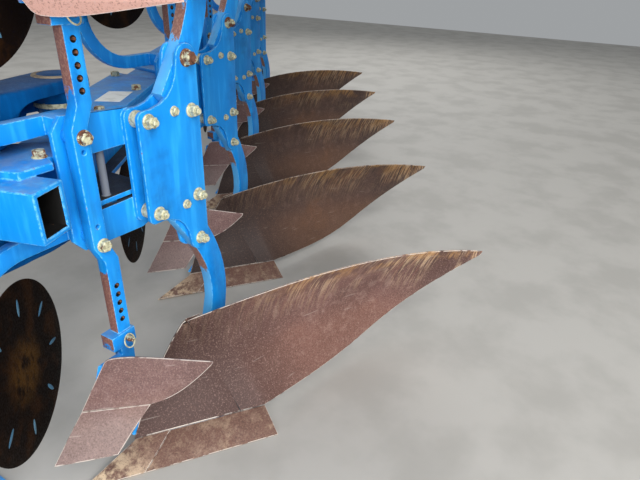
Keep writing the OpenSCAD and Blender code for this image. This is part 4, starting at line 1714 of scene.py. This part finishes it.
@dataclass
class Coulters:
    """Plain disc coulters with pressed radial ribs."""

    finishes: Finishes
    repeats: Repeats
    radius: float = 0.250
    thickness: float = 0.006
    bevel: float = 0.014
    edge_half: float = 0.0008
    edge_worn: float = 0.002
    rings: Sequence[float] = (0.05, 0.10, 0.15, 0.20)
    facets: int = 96
    ribs: int = 8
    rib_at: float = 0.180
    rib_l: float = 0.052
    rib_w: float = 0.013
    rib_h: float = 0.0012
    rib_sunk: float = 0.0002
    rib_facets: tuple[int, int] = (20, 6)
    first_rib: float = 0.3
    flange_r: float = 0.055
    flange_h: float = 0.014
    low: DiscPlace = DiscPlace("low", Side.LOWER, (0.594, -0.090, 0.500), 36.0)
    high: DiscPlace = DiscPlace("high", Side.UPPER, (0.560, -0.050, 0.440), 12.0)

    def build(self) -> None:
        """Makes the discs and their pressed ribs."""
        f = self.finishes
        for k in LAYOUT.numbers():
            for disc in (self.low, self.high):
                name = f"{disc.name}_{k}"
                piece = bare_object(f"disc_{name}_finished", self.blade(k, disc))
                register(piece, f"coulter_{name}", "disc_steel", f.disc, f"disc_{name}")
                places = self.rib_places(k, disc)
                self.repeats.make(f"disc_ribs_{name}", self.rib(), places, f.rib_paint, f"coulter_{name}")

    def blade(self, k: int, disc: DiscPlace) -> BMesh:
        """Disc with its bevelled edge and the flange of its hub, in rings that carry the soil's spread.

        Args:
            k: Number of the body.
            disc: Which of its discs.

        Returns:
            The mesh in the plough's frame.
        """
        half, tip = self.thickness / 2, self.edge_half
        inner = [*self.rings, self.radius - self.bevel]
        bm = turned_part([
            (0, -half), *((r, -half) for r in inner), (self.radius, -tip), (self.radius, tip),
            *((r, half) for r in inner[:0:-1]),
            (self.flange_r, half), (self.flange_r, self.flange_h), (0, self.flange_h),
        ], self.facets)
        worn, layer = bm.faces.layers.float.new(WORN), bm.verts.layers.float.new(RADIUS)
        for v in bm.verts:
            v[layer] = v.co.xy.length / self.radius
        for face in bm.faces:
            face[worn] = float(face.calc_center_median().xy.length > self.radius - self.edge_worn)
        bm.transform(self.upright(k, disc, 0.0, 1))
        return bm

    def upright(self, k: int, disc: DiscPlace, angle: float, face: int) -> Matrix:
        """Place on a disc.

        Args:
            k: Number of the body.
            disc: Which of its discs.
            angle: Angle of x, which points outwards from the disc's middle.
            face: 1 where z points to the hub, -1 where it points away from it.

        Returns:
            Matrix from the disc's own frame to the plough's frame.
        """
        centre = LAYOUT.body(k, disc.side) @ Vector(disc.centre)
        normal = disc.axle * face
        away = UP.cross(disc.axle) * math.cos(angle) + UP * math.sin(angle)
        return Matrix.Translation(centre) @ Matrix((away, normal.cross(away), normal)).transposed().to_4x4()

    def rib(self) -> BMesh:
        """One pressed rib, long along x and low above the disc's face.

        Returns:
            The rib about the origin.
        """
        bm = bmesh.new()
        round_it, up_it = self.rib_facets
        bmesh.ops.create_uvsphere(bm, u_segments=round_it, v_segments=up_it, radius=1.0)
        bmesh.ops.scale(bm, vec=(self.rib_l / 2, self.rib_w / 2, self.rib_h), verts=bm.verts)
        return bm

    def rib_places(self, k: int, disc: DiscPlace) -> list[Matrix]:
        """Places of the ribs on both faces of one disc.

        Args:
            k: Number of the body.
            disc: Which of its discs.

        Returns:
            Matrices from the rib's frame to the plough's frame.
        """
        spot = Matrix.Translation((self.rib_at, 0, self.thickness / 2 - self.rib_sunk))
        turns = [2 * math.pi * (i + self.first_rib) / self.ribs for i in range(self.ribs)]
        return [self.upright(k, disc, turn, face) @ spot for face in (1, -1) for turn in turns]


@dataclass
class Bolts:
    """Every bolt head and nut that shows.

    Points on legs and stalks are x and the rise from the turnover axis, and those on clamp plates and
    cheeks are x and y. The last body has no clamp plate behind it, and goes without the last clamp point.
    """

    finishes: Finishes
    row: BoltRow
    plate_face: float = 0.0323
    leg_points: Sequence[Point2] = (
        (0.0, 0.138), (0.0, -0.132), (0.168, 0.138), (0.168, -0.138), (0.004, -0.287),
    )
    top_point: Point2 = (0.004, 0.287)
    small_points: Sequence[Point2] = ((0.070, 0.148), (0.055, -0.148))
    stalk_face: float = 0.022
    stalk_points: Sequence[Point2] = ((0.365, 0.138), (0.365, -0.160))
    clamp_rise: float = 0.085
    clamp_points: Sequence[Point2] = (
        (0.203, -0.328), (0.044, -0.328), (0.009, -0.242), (-0.269, -0.502), (-0.405, -0.780),
    )
    cheek_point: Point2 = (0.424, -0.081)
    axis_y: float = -0.100
    flange_faces: Point2 = (0.820, 0.880)
    flange_ring: float = 0.115
    tower_x: float = 1.000
    tower_ring: float = 0.130
    cylinder_lugs: Point2 = (1.302, 1.402)
    cylinder_rise: float = 0.520
    stand_spot: Point3 = (0.760, -0.322, 0.940)
    hub_ring: float = 0.095
    rim_disc: float = 0.005
    arm_pivot: Point2 = (-2.360, 0.980)

    def spots(self, points: Sequence[Point2], y: float) -> list[Spot]:
        """Places the same bolts on every body.

        Args:
            points: Where they are on the body.
            y: Face that they sit on, to the left of the body's middle or to its right.

        Returns:
            Foot and direction of each bolt.
        """
        way = LEFT * math.copysign(1, y)
        return [(LAYOUT.point(k, x, y, rise), way) for k in LAYOUT.numbers() for x, rise in points]

    def clamp_spots(self) -> list[Spot]:
        """Places the bolts of the square tube's cheeks and of the carriers' clamp plates, above and below.

        Returns:
            Foot and direction of each bolt.
        """
        rows = [(1, [self.cheek_point])]
        for k in LAYOUT.numbers():
            last = k == LAYOUT.furrows
            rows.append((k, self.clamp_points[:-1] if last else self.clamp_points))
        return [
            (LAYOUT.point(k, *point, sign * self.clamp_rise), UP * sign)
            for k, points in rows for sign in (1, -1) for point in points
        ]

    def ring(self, middle: Vector, way: Vector, radius: float, count: int = 8) -> list[Spot]:
        """Places bolts in a ring.

        Args:
            middle: Middle of the ring in the plough's frame.
            way: Outward direction, along the ring's axis.
            radius: Radius of the ring.
            count: Number of bolts, none of them at an end of its level diameter.

        Returns:
            Foot and direction of each bolt.
        """
        side = way.cross(UP)
        turns = [2 * math.pi * (i + 0.5) / count for i in range(count)]
        return [(middle + (side * math.cos(a) + UP * math.sin(a)) * radius, way) for a in turns]

    def drive_rows(self) -> list[tuple[str, str, BoltStyle, list[Spot]]]:
        """Rows of bolts on the turnover shaft, the headstock, the stand and the depth wheel.

        Returns:
            Name, body, style and spots of each row.
        """
        rear, front = (LAYOUT.point(1, x, self.axis_y, 0.0) for x in self.flange_faces)
        tower = LAYOUT.point(1, self.tower_x, self.axis_y, 0.0)
        back_lug, front_lug = (
            LAYOUT.point(1, x, self.axis_y, self.cylinder_rise) for x in self.cylinder_lugs
        )
        stand = LAYOUT.body(1) @ Vector(self.stand_spot)
        hub = sum(box_of("wheel_rim"), Vector()) / 2 - LEFT * self.rim_disc
        pivot = Vector((self.arm_pivot[0], box_of("wheel_arm")[1].y, self.arm_pivot[1]))
        return [
            ("flange_heads", "frame", HEX_HEAD, self.ring(front, AHEAD, self.flange_ring)),
            ("flange_nuts", "frame", FLANGE_NUT, self.ring(rear, -AHEAD, self.flange_ring)),
            ("tower_heads", "headstock", HEX_HEAD, self.ring(tower, -AHEAD, self.tower_ring)),
            ("cylinder_pin_heads", "headstock", CLAMP_HEAD, [(back_lug, -AHEAD), (front_lug, AHEAD)]),
            ("stand_pin_head", "frame", SMALL_HEAD, [(stand, -LEFT)]),
            ("wheel_nuts", "depth_wheel", SMALL_HEAD, self.ring(hub, -LEFT, self.hub_ring, 5)),
            ("wheel_arm_nut", "wheel_arm", TOP_NUT, [(pivot, LEFT)]),
        ]

    def build(self) -> None:
        """Makes the rows of bolts."""
        f, face = self.finishes, self.plate_face
        table = [
            ("leg_nuts", FLANGE_NUT, self.spots(self.leg_points, face), f.zinc),
            ("leg_top_nuts", TOP_NUT, self.spots([self.top_point], face), f.rusty_zinc),
            ("leg_small_heads", SMALL_HEAD, self.spots(self.small_points, face), f.zinc),
            ("leg_bolt_heads", HEX_HEAD, self.spots([*self.leg_points, self.top_point], -face), f.zinc),
            ("stalk_bolts", HEX_HEAD, self.spots(self.stalk_points, self.stalk_face), f.worn_zinc),
            ("clamp_bolts", CLAMP_HEAD, self.clamp_spots(), f.worn_zinc),
        ]
        for name, style, spots, finish in table:
            self.row.make(name, style, spots, finish, "frame")
        for name, body, style, spots in self.drive_rows():
            self.row.make(name, style, spots, f.zinc, body)


@dataclass
class Trim:
    """Small plain pieces: sleeves, washers, pin covers, a blank plate, clips, linch pins and tyre lugs.

    A profile is a row of radii and heights of a turned part, from its foot up.
    """

    finishes: Finishes
    repeats: Repeats
    spacer_x: float = 0.168
    spacer_rise: float = 0.138
    sleeve: Sequence[Point2] = (
        (0, -0.01925), (0.0225, -0.01925), (0.024, -0.01775),
        (0.024, 0.01775), (0.0225, 0.01925), (0, 0.01925),
    )
    pin_at: Point2 = (0.200, -0.291)
    washer_rise: float = 0.146
    washer: Sequence[Point2] = (
        (0.0575, 0.0), (0.072, 0.0), (0.072, 0.012), (0.070, 0.014), (0.0575, 0.014),
    )
    cover_rise: float = 0.2283
    cover: Sequence[Point2] = (
        (0, 0), (0.063, 0), (0.061, 0.0035), (0.050, 0.0045), (0.046, 0.002), (0, 0.002),
    )
    label_at: Point2 = (-0.1345, -0.4685)
    label_turn: float = 32.8
    label_size: Point3 = (0.165, 0.088, 0.001)
    label_rise: float = 0.0858
    link_at: Point3 = (1.490, -0.100, 0.600)
    link_reach: float = 0.538
    clip: Sequence[Point2] = (
        (0, -0.026), (0.0055, -0.026), (0.0055, 0.022), (0.009, 0.024), (0.009, 0.032), (0, 0.034),
    )
    stalk_mid: float = 0.3465
    linch_y: float = 0.031
    linch_heights: Point2 = (0.497, 1.398)
    linch: Sequence[Point2] = (
        (0, -0.006), (0.009, -0.006), (0.009, 0.012), (0.006, 0.014), (0.006, 0.022), (0, 0.023),
    )
    ring_r: float = 0.0205
    wire_r: float = 0.0022
    wire_sides: int = 8
    ring_sides: int = 28
    ring_offset: Point3 = (0.004, 0.012, -0.004)
    ring_turn: float = 14.0
    ring_lean: float = 20.0
    lugs: int = 26
    lug_half: float = 0.013
    lug_taper: float = 0.003
    lug_slant: float = 0.35
    lug_line: Sequence[Point2] = ((0.006, 0.3380), (0.058, 0.3380), (0.090, 0.3225))
    lug_base: float = 0.305

    def sleeves(self) -> None:
        """Makes the zinc sleeves that show between the two plates of each carrier."""
        across = Matrix.Rotation(math.pi / 2, 4, "X")
        places = [
            Matrix.Translation(LAYOUT.point(k, self.spacer_x, 0.0, rise)) @ across
            for k in LAYOUT.numbers() for rise in (self.spacer_rise, -self.spacer_rise)
        ]
        self.repeats.make("spacer_sleeves", turned_part(self.sleeve), places, self.finishes.zinc)

    def swing_pin(self) -> None:
        """Makes the washers and covers of the pin that the swing arm turns on, above and below."""
        f = self.finishes
        table = [("pin_washers", self.washer, self.washer_rise, f.zinc),
                 ("pin_covers", self.cover, self.cover_rise, f.grease)]
        for name, profile, rise, finish in table:
            places = [
                Matrix.Translation(LAYOUT.point(1, *self.pin_at, way * rise)) @ Matrix.Rotation(turn, 4, "X")
                for way, turn in ((1, 0.0), (-1, math.pi))
            ]
            self.repeats.make(name, turned_part(profile), places, finish)

    def label(self) -> None:
        """Makes the blank plate on the first carrier's clamp plate."""
        bm = bmesh.new()
        bmesh.ops.create_cube(bm, size=1.0)
        bmesh.ops.scale(bm, vec=self.label_size, verts=bm.verts)
        turn = Matrix.Rotation(math.radians(self.label_turn), 4, "Z")
        place = Matrix.Translation(LAYOUT.point(1, *self.label_at, self.label_rise)) @ turn
        self.repeats.make("blank_plate", bm, [place], self.finishes.label)

    def link_clips(self) -> None:
        """Makes the clips that stand in the ends of the two lower link pins."""
        x, y, z = self.link_at
        places = [
            LAYOUT.body(1) @ Matrix.Translation((x, y + reach, z))
            for reach in (self.link_reach, -self.link_reach)
        ]
        self.repeats.make("link_clips", turned_part(self.clip), places, self.finishes.zinc, "headstock")

    def linch_pins(self) -> None:
        """Makes the linch pins, each with its spring ring, that hold the skimmers on their stalks."""
        turns = [2 * math.pi * i / self.wire_sides for i in range(self.wire_sides)]
        wire = [(self.ring_r + self.wire_r * math.cos(a), self.wire_r * math.sin(a)) for a in turns]
        left = Matrix.Rotation(-math.pi / 2, 4, "X")
        tip = Matrix.Rotation(math.radians(self.ring_turn), 4, "Z")
        hung = Matrix.Translation(self.ring_offset) @ tip @ left
        hung = hung @ Matrix.Rotation(math.radians(self.ring_lean), 4, "X")
        spots = [
            LAYOUT.body(k) @ Matrix.Translation((self.stalk_mid, self.linch_y, height))
            for k in LAYOUT.numbers() for height in self.linch_heights
        ]
        f = self.finishes
        pin, ring = turned_part(self.linch), turned_part(wire, self.ring_sides)
        self.repeats.make("linch_pins", pin, [spot @ left for spot in spots], f.rusty_zinc)
        self.repeats.make("linch_rings", ring, [spot @ hung for spot in spots], f.zinc)

    def tread(self) -> None:
        """Makes the slanted lugs of the depth wheel's tyre, in two rows that are half a step apart."""
        lug = bmesh.new()
        half, crest = self.lug_half, self.lug_half - self.lug_taper
        rings = []
        for y, top in self.lug_line:
            x = (y - self.lug_line[0][0]) * self.lug_slant
            section = ((-half, self.lug_base), (half, self.lug_base), (crest, top), (-crest, top))
            rings.append([lug.verts.new((x + dx, y, z)) for dx, z in section])
        for a, b in zip(rings, rings[1:]):
            for i in range(4):
                lug.faces.new((a[i], a[(i + 1) % 4], b[(i + 1) % 4], b[i]))
        lug.faces.new(rings[0])
        lug.faces.new(rings[-1])
        bmesh.ops.recalc_face_normals(lug, faces=lug.faces)
        low, high = box_of("wheel_tyre")
        places = []
        for i in range(2 * self.lugs):
            turn = Matrix.Rotation(math.pi * i / self.lugs, 4, "Y")
            row = Matrix.Rotation(math.pi * (i % 2), 4, "Z")
            places.append(Matrix.Translation((low + high) / 2) @ turn @ row)
        self.repeats.make("tyre_lugs", lug, places, self.finishes.rubber, "depth_wheel", "tyre")

    def build(self) -> None:
        """Makes all of them."""
        self.tread()
        self.sleeves()
        self.swing_pin()
        self.label()
        self.link_clips()
        self.linch_pins()


@dataclass(frozen=True)
class Lamp:
    """A soft square lamp: place, point that it faces, side, power in watts and spread in degrees."""

    name: str
    place: Point3
    target: Point3
    size: float
    power: float
    spread: float = 180.0

    def build(self) -> None:
        """Adds the lamp to the scene."""
        data = bpy.data.lights.new(self.name, "AREA")
        data.shape, data.size, data.energy = "SQUARE", self.size, self.power
        data.spread = math.radians(self.spread)
        lamp = linked(self.name, data)
        lamp.location = self.place
        lamp.rotation_mode = "QUATERNION"
        lamp.rotation_quaternion = (Vector(self.target) - Vector(self.place)).to_track_quat("-Z", "Y")


@dataclass
class Studio:
    """Pale floor, soft light and the camera at the photograph's angle."""

    eye: Point3 = (2.847, 2.423, 1.501)
    heading: float = 29.0
    pitch: float = 27.843
    roll: float = -2.348
    lens_mm: float = 28.735
    sensor_mm: float = 36.0
    sight: Point2 = (0.02, 60.0)
    floor_colour: str = "#b5b2ac"
    floor_speckle: str = "#a9a6a0"
    floor_half: float = 14.0
    floor_drop: float = 0.0005
    sky: str = "#e8ecef"
    sky_strength: float = 0.42
    lamps: Sequence[Lamp] = (
        Lamp("Key", (4.2, 5.6, 4.6), (0.9, 0.8, 0.4), 3.6, 395),
        Lamp("Doorway", (6.4, 4.4, 1.7), (1.2, 0.9, 0.9), 3.0, 42, 80.0),
        Lamp("Back", (-7.0, -2.0, 6.0), (-0.5, 0.0, 0.5), 5.0, 300),
        Lamp("Right", (2.0, -7.0, 5.0), (0.0, 0.0, 0.6), 5.0, 120),
    )

    def camera(self) -> None:
        """Makes the camera. The heading is turned left from straight back along the plough."""
        turn, tilt, lean = (math.radians(angle) for angle in (self.heading, self.pitch, self.roll))
        ahead = Vector((-math.cos(turn), -math.sin(turn), 0))
        right = Vector((-math.sin(turn), math.cos(turn), 0))
        look = ahead * math.cos(tilt) - UP * math.sin(tilt)
        down = -UP * math.cos(tilt) - ahead * math.sin(tilt)
        across = right * math.cos(lean) + down * math.sin(lean)
        below = -right * math.sin(lean) + down * math.cos(lean)
        data = bpy.data.cameras.new("Camera")
        data.sensor_width, data.lens = self.sensor_mm, self.lens_mm
        data.clip_start, data.clip_end = self.sight
        camera = linked("Camera", data)
        turned = Matrix((across, -below, -look)).transposed().to_4x4()
        camera.matrix_world = Matrix.Translation(self.eye) @ turned
        bpy.context.scene.camera = camera

    def floor(self) -> None:
        """Makes the floor just below the plough."""
        bm = bmesh.new()
        bmesh.ops.create_grid(bm, x_segments=1, y_segments=1, size=self.floor_half)
        floor = bare_object("floor", bm)
        s = Surface("Plain pale floor", self.floor_colour, 0.7)
        s.lay(self.floor_speckle, Step(s.noise(400), 0.4, 0.65))
        floor.data.materials.append(s.finish())
        floor.location.z = -self.floor_drop

    def surroundings(self) -> None:
        """Makes the pale light from all round."""
        world = bpy.data.worlds.new("Surroundings")
        world.use_nodes = True
        colour, strength = world.node_tree.nodes["Background"].inputs[:2]
        colour.default_value, strength.default_value = linear(self.sky), self.sky_strength
        bpy.context.scene.world = world

    def build(self) -> None:
        """Makes camera, floor, surroundings and lamps."""
        bpy.context.scene.view_settings.view_transform = "Standard"
        self.camera()
        self.floor()
        self.surroundings()
        for lamp in self.lamps:
            lamp.build()


def main() -> None:
    """Builds the studio and every part of the plough."""
    logging.basicConfig(level=logging.INFO, format="%(name)s: %(message)s")
    Studio().build()
    finishes = Finishes()
    bend, repeats = CylinderBend(), Repeats()
    MainBodies(finishes, bend).build()
    Skimmers(finishes, bend).build()
    PaintedSteel(finishes).build()
    Coulters(finishes, repeats).build()
    Bolts(finishes, BoltRow()).build()
    Trim(finishes, repeats).build()


if __name__ == "__main__":
    main()
